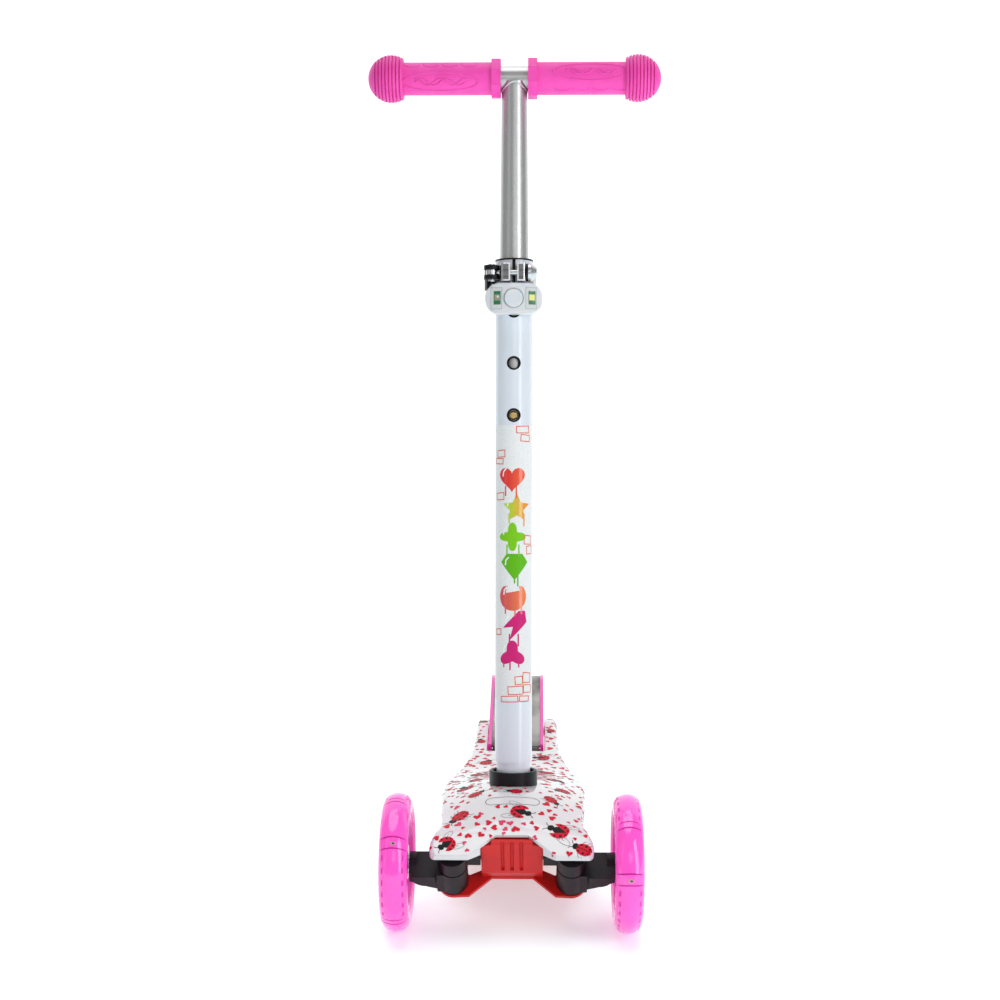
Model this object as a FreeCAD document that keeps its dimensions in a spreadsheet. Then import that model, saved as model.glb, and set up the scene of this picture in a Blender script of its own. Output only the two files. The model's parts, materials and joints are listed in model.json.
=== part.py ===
import FreeCAD, Part
import math
import os

import Sketcher
from FreeCAD import Placement, Rotation, Vector

# Children's three-wheel, lean-to-steer kick scooter. Millimetres, +Z up, the front faces -Y.
# The origin is on the floor, under the centre of the bounding box.

DOC = FreeCAD.newDocument("kick_scooter")
SHEET = DOC.addObject("Spreadsheet::Sheet", "sizes")
NODES = []

SIZES = (
    ("wheel_dia", 120, "front wheel diameter"),
    ("tyre_width", 25, "front tyre width"),
    ("rim_dia", 86, "front core diameter under the tyre"),
    ("half_track", 101, "centre plane of each front wheel from the middle"),
    ("front_axle_y", -215, "front axle, along the deck"),
    ("rear_axle_y", 217, "rear axle, along the deck"),
    ("rear_wheel_dia", 80, "rear wheel diameter"),
    ("rear_tyre_width", 24, "rear tyre width"),
    ("rear_rim_dia", 54, "rear core diameter under the tyre"),
    ("rear_wheel_gap", 3, "gap between the two rear wheels"),
    ("bearing_dia", 22, "608 bearing, outside"),
    ("bearing_bore", 8, "608 bearing, bore"),
    ("bearing_width", 7, "608 bearing, width"),
    ("axle_dia", 8, "wheel axles"),
    ("column_y", -134, "column axis at the top of the deck collar"),
    ("column_height", 117, "top of the deck collar above the floor"),
    ("column_lean", 10, "column leans back, degrees"),
    ("column_dia", 34, "column tube, outside"),
    ("column_wall", 1.8, "column tube wall"),
    ("column_start", 8.5, "lower end of the column tube above the collar"),
    ("column_top", 468, "upper end of the column tube"),
    ("foot_dia", 31, "column foot, outside"),
    ("foot_depth", 75, "foot length below the collar"),
    ("upper_dia", 26, "upper tube, in the column"),
    ("upper_neck_dia", 23.4, "upper tube, under the crossbar"),
    ("upper_wall", 1.6, "upper tube wall"),
    ("upper_start", 228, "lower end of the upper tube"),
    ("lock_height", 326, "lowest lock hole"),
    ("lock_pitch", 47.6, "pitch of the lock holes"),
    ("lock_hole_dia", 12.8, "lock holes in the column tube"),
    ("liner_hole_dia", 9.4, "lock holes in the liner"),
    ("button_dia", 7.6, "snap button"),
    ("bar_height", 637, "crossbar axis above the collar, along the column"),
    ("bar_dia", 22.2, "crossbar, outside"),
    ("bar_half", 116, "half of the crossbar's length"),
    ("grip_dia", 29.6, "grip body"),
    ("grip_start", 12.6, "inner end of each grip from the middle"),
    ("grip_end", 135, "outer end of each grip from the middle"),
    ("grip_flange_width", 8.4, "octagonal flange, width"),
    ("grip_flange_flats", 34.6, "octagonal flange, across flats"),
    ("grip_ball_dia", 43, "ball end of the grip"),
    ("clamp_bottom", 446.5, "lower face of the clamp collar"),
    ("clamp_height", 16.5, "clamp collar height"),
    ("clamp_dia", 41, "clamp collar, outside"),
    ("clamp_bolt_dia", 5, "clamp bolt"),
    ("clamp_bolt_y", -25, "clamp bolt in front of the column axis"),
    ("clamp_pivot_x", -20.1, "cam pin left of the column axis"),
    ("lamp_width", 51.8, "clip-on lamp, width"),
    ("lamp_bottom", 417.4, "lower edge of the lamp"),
    ("lamp_height", 27.5, "clip-on lamp, height"),
    ("collar_dia", 44, "deck collar ring, outside"),
    ("collar_bore", 37.6, "deck collar ring, mouth"),
    ("collar_height", 13, "deck collar ring, height"),
    ("socket_dia", 37.4, "column socket, outside"),
    ("kingpin_x", 52, "kingpins from the middle"),
    ("kingpin_y", -213.8, "middle of the knuckle hub, along the deck"),
    ("kingpin_z", 49.5, "middle of the knuckle hub, above the floor"),
    ("kingpin_lean", 38, "kingpins lean forward, degrees"),
    ("kingpin_dia", 8, "kingpin bolts"),
    ("hub_dia", 26.4, "knuckle hub"),
    ("hub_height", 29, "knuckle hub, along the kingpin"),
    ("bush_flange", 3.6, "upper bush flange thickness"),
    ("ear_thickness", 3.5, "lower kingpin ear"),
    ("nose_height", 47.5, "nose plane above the hub's middle, along the kingpin"),
    ("cover_wall", 2.5, "deck cover thickness"),
    ("cutout_half", 30.5, "half of the rear cut-out's width"),
    ("cutout_front", 53, "front edge of the rear cut-out"),
    ("cover_end", 196, "rear end of the deck cover's arms"),
    ("underside", 52.4, "flat underside of the footboard above the floor"),
    ("nut_seat", 36.4, "seat of the rear axle nuts in the arms, from the middle"),
    ("frame_end", 219, "rear end of the deck frame's arms"),
    ("brake_pivot_y", 70, "fender hinge pin, along the deck"),
    ("brake_pivot_z", 62, "fender hinge pin, above the floor"),
    ("fender_half", 29, "half of the fender's width"),
    ("fender_radius", 64, "outer radius of the fender about the rear axle"),
)


class Size:
    """A length that carries the spreadsheet expression it comes from."""

    def __init__(self, value, text):
        self.value = float(value)
        self.text = text

    def __float__(self):
        return self.value

    def __add__(self, other):
        return Size(self.value + float(other), f"({self.text} + {wording(other)})")

    def __radd__(self, other):
        return Size(float(other) + self.value, f"({wording(other)} + {self.text})")

    def __sub__(self, other):
        return Size(self.value - float(other), f"({self.text} - {wording(other)})")

    def __rsub__(self, other):
        return Size(float(other) - self.value, f"({wording(other)} - {self.text})")

    def __mul__(self, other):
        return Size(self.value * float(other), f"({self.text} * {wording(other)})")

    def __rmul__(self, other):
        return Size(float(other) * self.value, f"({wording(other)} * {self.text})")

    def __truediv__(self, other):
        return Size(self.value / float(other), f"({self.text} / {wording(other)})")

    def __neg__(self):
        return Size(-self.value, f"(0 - {self.text})")


def wording(number):
    """The expression text of a Size, or a plain number in brackets."""
    return number.text if isinstance(number, Size) else f"({float(number):.6f})"


class Sheet:
    """The spreadsheet's cells, read as attributes."""


def fill_sheet():
    cells = Sheet()
    for row, (alias, value, meaning) in enumerate(SIZES, start=1):
        SHEET.set(f"A{row}", meaning)
        SHEET.set(f"B{row}", str(value))
        SHEET.setAlias(f"B{row}", alias)
        setattr(cells, alias, Size(value, f"sizes.{alias}"))
    DOC.recompute()
    return cells


S = fill_sheet()


# ---------------------------------------------------------------- frames

WORLD = Placement()
COLUMN = Placement(
    Vector(0, float(S.column_y), float(S.column_height)),
    Rotation(Vector(1, 0, 0), -float(S.column_lean)),
)


def kingpin_frame(side):
    """X to the right, Z up along the kingpin, origin at the middle of the knuckle hub."""
    return Placement(
        Vector(side * float(S.kingpin_x), float(S.kingpin_y), float(S.kingpin_z)),
        Rotation(Vector(1, 0, 0), float(S.kingpin_lean)),
    )


TRUCK = kingpin_frame(0)


def axle_frame(side):
    """Origin at the middle of a front wheel, X along the axle."""
    return Placement(
        Vector(side * float(S.half_track), float(S.front_axle_y), float(S.wheel_dia) / 2),
        Rotation(),
    )


def rear_frame(x=0.0):
    return Placement(Vector(x, float(S.rear_axle_y), float(S.rear_wheel_dia) / 2), Rotation())


# ---------------------------------------------------------------- drawing helpers


def node(thing, label, place=WORLD):
    """Name a finished piece and put it in its frame."""
    thing.Label = label
    thing.Placement = place
    NODES.append(thing)
    return thing


def body(label, place=WORLD):
    return node(DOC.addObject("PartDesign::Body", label), label, place)


def sketch(owner, role, offset=0):
    """A sketch on one of the body's own planes, moved along the plane's normal."""
    plane = [item for item in owner.Origin.OriginFeatures if item.Role == role][0]
    drawn = owner.newObject("Sketcher::SketchObject", f"{owner.Name}_sketch")
    drawn.AttachmentSupport = (plane, [""])
    drawn.MapMode = "FlatFace"
    drawn.AttachmentOffset = Placement(Vector(0, 0, float(offset)), Rotation())
    if isinstance(offset, Size):
        drawn.setExpression("AttachmentOffset.Base.z", offset.text)
    return drawn


def constrain(drawn, kind, parts, number):
    """Add a dimension, bound to the sheet where the number comes from there."""
    index = drawn.addConstraint(Sketcher.Constraint(kind, *parts, float(number)))
    if isinstance(number, Size):
        name = f"size_{index}"
        drawn.renameConstraint(index, name)
        drawn.setExpression(f"Constraints.{name}", number.text)


def arc_between(start, end, radius):
    """The arc of signed radius from start to end: positive turns left, negative turns right."""
    x1, y1 = float(start[0]), float(start[1])
    x2, y2 = float(end[0]), float(end[1])
    signed = float(radius)
    half = math.hypot(x2 - x1, y2 - y1) / 2
    rise = math.sqrt(max(signed * signed - half * half, 0.0))
    side = 1 if signed > 0 else -1
    centre_x = (x1 + x2) / 2 - side * rise * (y2 - y1) / (2 * half)
    centre_y = (y1 + y2) / 2 + side * rise * (x2 - x1) / (2 * half)
    first = math.atan2(y1 - centre_y, x1 - centre_x)
    last = math.atan2(y2 - centre_y, x2 - centre_x)
    if side < 0:
        first, last = last, first
    circle = Part.Circle(Vector(centre_x, centre_y, 0), Vector(0, 0, 1), abs(signed))
    return Part.ArcOfCircle(circle, first, last)


def outline(drawn, corners):
    """A closed outline. A corner is (x, y), or (x, y, radius) where an arc leads to the next one."""
    count = len(corners)
    first = len(drawn.Geometry)
    ends = []
    for number, corner in enumerate(corners):
        follower = corners[(number + 1) % count]
        if len(corner) == 3:
            geometry = arc_between(corner, follower, corner[2])
            forward = float(corner[2]) > 0
        else:
            start = Vector(float(corner[0]), float(corner[1]), 0)
            end = Vector(float(follower[0]), float(follower[1]), 0)
            geometry = Part.LineSegment(start, end)
            forward = True
        drawn.addGeometry(geometry, False)
        ends.append((1, 2) if forward else (2, 1))
    for number, corner in enumerate(corners):
        here, after = first + number, first + (number + 1) % count
        start_point, end_point = ends[number]
        next_start = ends[(number + 1) % count][0]
        drawn.addConstraint(Sketcher.Constraint("Coincident", here, end_point, after, next_start))
        constrain(drawn, "DistanceX", (-1, 1, here, start_point), corner[0])
        constrain(drawn, "DistanceY", (-1, 1, here, start_point), corner[1])
        if len(corner) == 3:
            hold_arc(drawn, here, corner, corners[(number + 1) % count])
    return drawn


def hold_arc(drawn, index, corner, follower):
    """Fix an arc between two held corners: by its radius, or a half circle by its centre."""
    across = float(follower[0]) - float(corner[0])
    along = float(follower[1]) - float(corner[1])
    if abs(float(corner[2])) * 2 > math.hypot(across, along) * 1.01:
        radius = corner[2] if float(corner[2]) > 0 else -1 * corner[2]
        constrain(drawn, "Radius", (index,), radius)
    elif abs(along) > abs(across):
        constrain(drawn, "DistanceX", (-1, 1, index, 3), (corner[0] + follower[0]) / 2)
    else:
        constrain(drawn, "DistanceY", (-1, 1, index, 3), (corner[1] + follower[1]) / 2)


def circle(drawn, x, y, radius):
    centre = Vector(float(x), float(y), 0)
    index = drawn.addGeometry(Part.Circle(centre, Vector(0, 0, 1), float(radius)), False)
    constrain(drawn, "DistanceX", (-1, 1, index, 3), x)
    constrain(drawn, "DistanceY", (-1, 1, index, 3), y)
    constrain(drawn, "Radius", (index,), radius)
    return drawn


def box_corners(x1, x2, y1, y2):
    return ((x1, y1), (x2, y1), (x2, y2), (x1, y2))


def extrude(owner, kind, drawn, length, both, back):
    feature = owner.newObject(kind, f"{owner.Name}_feature")
    feature.Profile = drawn
    feature.SideType = "Symmetric" if both else "One side"
    feature.Reversed = back
    if length is None:
        feature.Type = 1
    else:
        feature.Length = float(length)
        if isinstance(length, Size):
            feature.setExpression("Length", length.text)
    DOC.recompute()
    return feature


def pad(owner, drawn, length, both=False, back=False):
    return extrude(owner, "PartDesign::Pad", drawn, length, both, back)


def pocket(owner, drawn, length=None, both=False, back=False):
    """Cut material away; the volume has to fall."""
    before = owner.Shape.Volume
    feature = extrude(owner, "PartDesign::Pocket", drawn, length, both, back)
    if owner.Shape.Volume > before - 0.01:
        raise RuntimeError(f"{owner.Label}: a pocket cuts nothing")
    return feature


def turn(owner, drawn, axis, cut=False):
    """Revolve about the sketch's own axis, or cut the same way."""
    kind = "PartDesign::Groove" if cut else "PartDesign::Revolution"
    feature = owner.newObject(kind, f"{owner.Name}_turned")
    feature.Profile = drawn
    feature.ReferenceAxis = (drawn, [axis])
    feature.Angle = 360
    DOC.recompute()
    return feature


def loft(owner, drawings, cut=False):
    kind = "PartDesign::SubtractiveLoft" if cut else "PartDesign::AdditiveLoft"
    feature = owner.newObject(kind, f"{owner.Name}_loft")
    feature.Profile = drawings[0]
    feature.Sections = drawings[1:]
    feature.Ruled = False
    DOC.recompute()
    return feature


def dress(owner, kind, chooses, size):
    """Fillet or chamfer the edges of the body's last feature that a test picks."""
    base = owner.Tip
    names = [
        f"Edge{number}"
        for number, edge in enumerate(base.Shape.Edges, start=1)
        if chooses(edge)
    ]
    if not names:
        raise RuntimeError(f"{owner.Label}: no edge to dress")
    feature = owner.newObject(f"PartDesign::{kind}", f"{owner.Name}_{kind.lower()}")
    feature.Base = (base, names)
    if kind == "Fillet":
        feature.Radius = float(size)
    else:
        feature.Size = float(size)
    DOC.recompute()
    return feature


def repeat(owner, features, axis_role, count):
    """Polar pattern about one of the body's own axes."""
    axis = [item for item in owner.Origin.OriginFeatures if item.Role == axis_role][0]
    pattern = owner.newObject("PartDesign::PolarPattern", f"{owner.Name}_pattern")
    pattern.Originals = features
    pattern.Axis = (axis, [""])
    pattern.Angle = 360
    pattern.Occurrences = count
    owner.Tip = pattern
    DOC.recompute()
    return pattern


def set_of(label, shapes, place=WORLD):
    """Identical loose pieces as one node: a compound of separate solids."""
    group = DOC.addObject("Part::Feature", label)
    group.Shape = Part.makeCompound(shapes)
    return node(group, label, place)


def rod(radius, length, start, direction):
    """A plain cylinder from a start point along a direction."""
    return Part.makeCylinder(float(radius), float(length), Vector(*start), Vector(*direction))


def tube(label, outer, inner, low, high, place):
    """A straight round tube along Z."""
    made = body(label, place)
    ring = sketch(made, "XY_Plane", low)
    circle(ring, 0, 0, outer)
    circle(ring, 0, 0, inner)
    pad(made, ring, high - low)
    return made


X_AXIS = (1, 0, 0)
Y_AXIS = (0, 1, 0)
Z_AXIS = (0, 0, 1)
FRONT = (0, -1, 0)


# ---------------------------------------------------------------- column


def lock_holes(owner, diameter):
    """The three lock holes through the front wall."""
    holes = sketch(owner, "XZ_Plane")
    for step in range(3):
        circle(holes, 0, S.lock_height + step * S.lock_pitch, diameter / 2)
    pocket(owner, holes, S.column_dia, back=True)


def column_tube():
    outer = S.column_dia / 2
    made = tube("column_tube", outer, outer - S.column_wall, S.column_start, S.column_top, COLUMN)
    lock_holes(made, S.lock_hole_dia)
    relief = sketch(made, "XZ_Plane")
    outline(relief, box_corners(-1.5, 1.5, S.column_top - 24, S.column_top + 1))
    pocket(made, relief, S.column_dia, back=True)


def tube_liner():
    bore = S.upper_dia / 2 + 0.05
    sleeve = S.column_dia / 2 - S.column_wall - 0.05
    flange = S.column_dia / 2 + 0.4
    made = body("tube_liner", COLUMN)
    profile = sketch(made, "XZ_Plane")
    outline(
        profile,
        (
            (bore, 300),
            (sleeve, 300),
            (sleeve, S.column_top),
            (flange, S.column_top),
            (flange, S.column_top + 1.4),
            (bore, S.column_top + 1.4),
        ),
    )
    turn(made, profile, "V_Axis")
    lock_holes(made, S.liner_hole_dia)


def column_foot():
    outer = S.foot_dia / 2
    neck = S.column_dia / 2 - S.column_wall - 0.05
    made = body("column_foot", COLUMN)
    profile = sketch(made, "XZ_Plane")
    outline(
        profile,
        (
            (outer - 3, -S.foot_depth),
            (outer - 1, -S.foot_depth),
            (outer, 1 - S.foot_depth),
            (outer, S.column_start),
            (neck, S.column_start),
            (neck, S.column_start + 45),
            (outer - 3, S.column_start + 45),
        ),
    )
    turn(made, profile, "V_Axis")
    hole = sketch(made, "XZ_Plane")
    circle(hole, 0, -45, 4.2)
    pocket(made, hole, S.foot_dia)


def foot_button():
    """Release button low on the foot; its tip locks into the socket's rear wall."""
    made = body("foot_button", COLUMN.multiply(Placement(Vector(0, 0, -45), Rotation())))
    profile = sketch(made, "YZ_Plane")
    outline(profile, ((8.5, 0), (18.2, 0), (18.2, 2.8), (17, 4), (10.5, 4), (10.5, 6), (8.5, 6)))
    turn(made, profile, "H_Axis")


def coil_spring(radius, wire, length, turns):
    """A coil spring along +Z from the origin."""
    path = Part.Wire(Part.makeHelix(length / turns, length, radius))
    section = Part.Wire(Part.Circle(Vector(radius, 0, 0), Vector(0, 1, 0), wire).toShape())
    return path.makePipeShell([section], True, True)


def foot_spring():
    """Coil between the foot's front wall and the button's flange."""
    coil = coil_spring(3.2, 0.45, 19.2, 8)
    coil.rotate(Vector(0, 0, 0), Vector(1, 0, 0), -90)
    coil.translate(Vector(0, -11.4, -45))
    set_of("foot_spring", [coil], COLUMN)


# ---------------------------------------------------------------- clamp


def clamp_collar():
    low, height = S.clamp_bottom, S.clamp_height
    made = body("clamp_collar", COLUMN)
    ring = sketch(made, "XY_Plane", low)
    circle(ring, 0, 0, S.clamp_dia / 2)
    pad(made, ring, height)
    lugs = sketch(made, "XY_Plane", low)
    outline(
        lugs,
        (
            (-12, -12),
            (-12, -30, 2.5),
            (-9.5, -32.5),
            (8.6, -32.5, 2.5),
            (11.1, -30),
            (11.1, -12),
        ),
    )
    pad(made, lugs, height)
    bore = sketch(made, "XY_Plane", low)
    circle(bore, 0, 0, S.column_dia / 2 + 0.03)
    pocket(made, bore, height, back=True)
    slot = sketch(made, "XY_Plane", low)
    outline(slot, box_corners(-3.2, 3.2, -40, -10))
    pocket(made, slot, height, back=True)
    hole = sketch(made, "YZ_Plane")
    circle(hole, S.clamp_bolt_y, low + height / 2, S.clamp_bolt_dia / 2 + 0.1)
    pocket(made, hole, None, both=True)


def clamp_bolt():
    """Eye bolt across the lugs; its eye sits on the cam pin."""
    middle = S.clamp_bottom + S.clamp_height / 2
    made = body("clamp_bolt", COLUMN)
    shank = sketch(made, "YZ_Plane", S.clamp_pivot_x + 3)
    circle(shank, S.clamp_bolt_y, middle, S.clamp_bolt_dia / 2)
    pad(made, shank, 36)
    eye = sketch(made, "XY_Plane", middle - 2.2)
    circle(eye, S.clamp_pivot_x, S.clamp_bolt_y, 5.2)
    pad(made, eye, 4.4)
    hole = sketch(made, "XY_Plane", middle - 2.2)
    circle(hole, S.clamp_pivot_x, S.clamp_bolt_y, 3.05)
    pocket(made, hole, 4.4, back=True)


def clamp_pin_and_washers():
    middle = float(S.clamp_bottom + S.clamp_height / 2)
    pin = body("clamp_cam_pin", COLUMN)
    drawn = sketch(pin, "XY_Plane", middle - 7.6)
    circle(drawn, S.clamp_pivot_x, S.clamp_bolt_y, 3)
    pad(pin, drawn, 15.2)
    washers = []
    for start, width, radius in ((-12.9, 0.9, 6.6), (11.1, 1.9, 8.0)):
        disc = rod(radius, width, (start, float(S.clamp_bolt_y), middle), X_AXIS)
        hole = rod(S.clamp_bolt_dia / 2 + 0.1, width, (start, float(S.clamp_bolt_y), middle), X_AXIS)
        washers.append(disc.cut(hole))
    set_of("clamp_washers", washers, COLUMN)


def clamp_nut():
    """Knurled conical nut at the right end of the bolt."""
    middle = S.clamp_bottom + S.clamp_height / 2
    place = COLUMN.multiply(Placement(Vector(13, float(S.clamp_bolt_y), float(middle)), Rotation()))
    made = body("clamp_nut", place)
    profile = sketch(made, "XZ_Plane")
    bore = S.clamp_bolt_dia / 2
    outline(profile, ((0, bore), (0, 8.7), (2.6, 8.7), (6.6, 5), (7.8, 4.2), (7.8, bore)))
    turn(made, profile, "H_Axis")


def clamp_lever():
    """Cam head with a fork slot, and an arm that wraps round the left of the collar."""
    low = S.clamp_bottom + 1.9
    height = S.clamp_height - 3.8
    pivot_x, pivot_y = float(S.clamp_pivot_x), float(S.clamp_bolt_y)
    made = body("clamp_lever", COLUMN)
    head = sketch(made, "XY_Plane", low)
    circle(head, S.clamp_pivot_x, S.clamp_bolt_y, 7)
    pad(made, head, height)
    inner, outer = 23.4, 27.2
    start, end = math.radians(222), math.radians(118)
    arm = sketch(made, "XY_Plane", low)
    outline(
        arm,
        (
            (outer * math.cos(start), outer * math.sin(start), -outer),
            (outer * math.cos(end), outer * math.sin(end), -2.2),
            (inner * math.cos(end), inner * math.sin(end), inner),
            (inner * math.cos(start), inner * math.sin(start)),
        ),
    )
    pad(made, arm, height)
    tab_from, tab_to = math.radians(205), math.radians(180)
    tab = sketch(made, "XY_Plane", low - 7)
    outline(
        tab,
        (
            (outer * math.cos(tab_from), outer * math.sin(tab_from), -outer),
            (outer * math.cos(tab_to), outer * math.sin(tab_to)),
            (inner * math.cos(tab_to), inner * math.sin(tab_to), inner),
            (inner * math.cos(tab_from), inner * math.sin(tab_from)),
        ),
    )
    pad(made, tab, 8)
    slot = sketch(made, "XY_Plane", low + height / 2 - 2.5)
    outline(slot, box_corners(pivot_x - 8, pivot_x + 8, pivot_y - 8, pivot_y + 5.6))
    pocket(made, slot, 5, back=True)
    hole = sketch(made, "XY_Plane", low)
    circle(hole, S.clamp_pivot_x, S.clamp_bolt_y, 3.05)
    pocket(made, hole, height, back=True)


# ---------------------------------------------------------------- lamp


def lamp_body():
    """Silicone housing that hugs the tube, with its strap round the back."""
    half = S.lamp_width / 2
    low, height = S.lamp_bottom, S.lamp_height
    made = body("lamp_body", COLUMN)
    plan = sketch(made, "XY_Plane", low)
    outline(
        plan,
        (
            (-half, -18, 5),
            (3 - half, -26.5, 62),
            (half - 3, -26.5, 5),
            (half, -18, 5),
            (half - 4, -13.5),
            (4 - half, -13.5, 5),
        ),
    )
    pad(made, plan, height)
    strap = sketch(made, "XY_Plane", low + 7)
    circle(strap, 0, 0, S.column_dia / 2 + 2.6)
    pad(made, strap, height - 14)
    around = sketch(made, "XZ_Plane")
    outline(around, box_corners(-half - 5, half + 5, low - 5, low + height + 5))
    radius = 12.5
    outline(
        around,
        (
            (radius - half, low),
            (half - radius, low, radius),
            (half, low + radius),
            (half, low + height - radius, radius),
            (half - radius, low + height),
            (radius - half, low + height, radius),
            (-half, low + height - radius),
            (-half, low + radius, radius),
        ),
    )
    pocket(made, around, None, both=True)
    hug = sketch(made, "XY_Plane", low - 1)
    circle(hug, 0, 0, S.column_dia / 2 + 0.05)
    pocket(made, hug, height + 2, back=True)
    chamber = sketch(made, "XY_Plane", low + 5)
    outline(chamber, box_corners(-20.6, 20.6, -26.2, -18.1))
    pocket(made, chamber, height - 10, back=True)
    recess = sketch(made, "XZ_Plane", 29.2)
    circle(recess, 0, low + height / 2, 8.8)
    pocket(made, recess, 10, back=True)


def lamp_contents():
    middle = float(S.lamp_bottom + S.lamp_height / 2)
    board = body("lamp_pcb", COLUMN)
    drawn = sketch(board, "XZ_Plane", 24.9)
    outline(drawn, box_corners(-19.8, 19.8, middle - 6, middle + 6))
    pad(board, drawn, 1)
    leds = [Part.makeBox(4, 0.25, 4, Vector(side * 15.8 - 2, -26.17, middle - 1)) for side in (-1, 1)]
    set_of("lamp_leds", leds, COLUMN)
    cells = [rod(8, 3.1, (0, start, middle), FRONT) for start in (-18.3, -21.6)]
    set_of("lamp_cells", cells, COLUMN)
    button = body("lamp_button", COLUMN)
    disc = sketch(button, "XZ_Plane", 30.1)
    circle(disc, 0, S.lamp_bottom + S.lamp_height / 2, 8.4)
    pad(button, disc, 2.4)
    dress(button, "Fillet", lambda edge: edge.BoundBox.YMax < -32.4, 1.2)


# ---------------------------------------------------------------- T-bar


def upper_tube():
    """Slides in the liner and narrows towards the crossbar, where it is coped round the bar."""
    foot, neck = S.upper_dia / 2, S.upper_neck_dia / 2
    made = body("upper_tube", COLUMN)
    profile = sketch(made, "XZ_Plane")
    outline(
        profile,
        (
            (foot - S.upper_wall, S.upper_start),
            (foot, S.upper_start),
            (foot, S.column_top + 8),
            (neck, S.bar_height - 20),
            (neck, S.bar_height),
            (neck - S.upper_wall, S.bar_height),
            (neck - S.upper_wall, S.bar_height - 20),
            (foot - S.upper_wall, S.column_top + 8),
        ),
    )
    turn(made, profile, "V_Axis")
    cope = sketch(made, "YZ_Plane")
    circle(cope, 0, S.bar_height, S.bar_dia / 2 + 2.2)
    pocket(made, cope, 60, both=True)
    hole = sketch(made, "XZ_Plane")
    circle(hole, 0, S.lock_height, S.button_dia / 2 + 0.3)
    pocket(made, hole, S.upper_dia, back=True)


def crossbar():
    made = body("crossbar", COLUMN)
    drawn = sketch(made, "YZ_Plane")
    circle(drawn, 0, S.bar_height, S.bar_dia / 2)
    circle(drawn, 0, S.bar_height, S.bar_dia / 2 - 1.6)
    pad(made, drawn, 2 * S.bar_half, both=True)


def weld_bead():
    """The bead fills the gap between the coped tube and the bar."""
    axis = Vector(0, 0, float(S.bar_height))
    around = float(S.upper_neck_dia) / 2
    bar = float(S.bar_dia) / 2
    outer = Part.makeCylinder(around + 0.7, 22, Vector(0, 0, axis.z - 22))
    inner = Part.makeCylinder(around - 2.4, 22, Vector(0, 0, axis.z - 22))
    along = Vector(-30, 0, axis.z)
    near = Part.makeCylinder(bar, 60, along, Vector(1, 0, 0))
    far = Part.makeCylinder(bar + 2.2, 60, along, Vector(1, 0, 0))
    ring = outer.cut(inner).common(far).cut(near)
    below = Part.makeBox(60, 60, 40, Vector(-30, -30, axis.z - 44))
    bead = DOC.addObject("Part::Feature", "weld_bead")
    bead.Shape = ring.common(below)
    node(bead, "weld_bead", COLUMN)


def grip(side):
    """One rubber moulding: octagonal flange, body, ball end with thin fins; the bar goes in its bore."""
    label = "grip_right" if side > 0 else "grip_left"
    made = body(label, COLUMN.multiply(Placement(Vector(0, 0, float(S.bar_height)), Rotation())))
    flats = S.grip_flange_flats / 2
    flange = sketch(made, "YZ_Plane", side * S.grip_start)
    twist = 0 if side > 0 else 9
    reach = float(flats) / math.cos(math.radians(22.5))
    corners = []
    for step in range(8):
        angle = math.radians(22.5 + twist + 45 * step)
        corners.append((reach * math.cos(angle), reach * math.sin(angle)))
    outline(flange, corners)
    pad(made, flange, S.grip_flange_width, back=side < 0)
    ball = S.grip_ball_dia / 2
    centre = S.grip_end - ball
    first = S.grip_start + S.grip_flange_width
    seat = centre - 11
    face = math.sqrt(float(ball) ** 2 - 11**2)
    trunk = sketch(made, "XZ_Plane")
    outline(
        trunk,
        (
            (side * (first - 1), 0),
            (side * (first - 1), S.grip_dia / 2),
            (side * seat, S.grip_dia / 2),
            (side * seat, face, -side * ball),
            (side * S.grip_end, 0),
        ),
    )
    turn(made, trunk, "H_Axis")
    fins = sketch(made, "XZ_Plane")
    groove, pitch = 1.1, 3.2
    for step in range(8):
        low = -9 + pitch * step
        high = low + groove
        floor = [math.sqrt(float(ball) ** 2 - edge**2) - 1.8 for edge in (low, high)]
        outline(
            fins,
            (
                (side * (centre + low), min(floor)),
                (side * (centre + low), S.grip_ball_dia),
                (side * (centre + high), S.grip_ball_dia),
                (side * (centre + high), min(floor)),
            ),
        )
    turn(made, fins, "H_Axis", cut=True)
    bore = sketch(made, "YZ_Plane", side * S.grip_start)
    circle(bore, 0, 0, S.bar_dia / 2 + 0.02)
    pocket(made, bore, S.bar_half - S.grip_start, back=side > 0)


def snap_button():
    """Brass button that locks the height: it stands in the lowest lock hole."""
    made = body("snap_button", COLUMN.multiply(Placement(Vector(0, 0, float(S.lock_height)), Rotation())))
    tip = S.column_dia / 2 - 1.4
    radius = S.button_dia / 2
    profile = sketch(made, "YZ_Plane")
    outline(
        profile,
        (
            (-8.4, 0),
            (-tip, 0),
            (-tip, radius - 1.3),
            (1.3 - tip, radius),
            (-9.9, radius),
            (-9.9, radius + 1.2),
            (-8.4, radius + 1.2),
        ),
    )
    turn(made, profile, "H_Axis")


def snap_spring():
    """Bent leaf inside the upper tube: one leg behind the button, one against the far wall."""
    made = body("snap_spring", COLUMN.multiply(Placement(Vector(0, 0, float(S.lock_height)), Rotation())))
    strip = sketch(made, "YZ_Plane")
    outline(
        strip,
        (
            (-8.3, 6),
            (-8.3, -8),
            (0, -36),
            (9.8, -8),
            (9.8, 8),
            (9.2, 8),
            (9.2, -8),
            (0, -34),
            (-7.7, -8),
            (-7.7, 6),
        ),
    )
    pad(made, strip, 7, both=True)


# ---------------------------------------------------------------- deck

# Screws that hold the cover down on the frame, from below.
SCREWS = [(side * 28, y) for y in (-81, -27, 26) for side in (-1, 1)]

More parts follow.
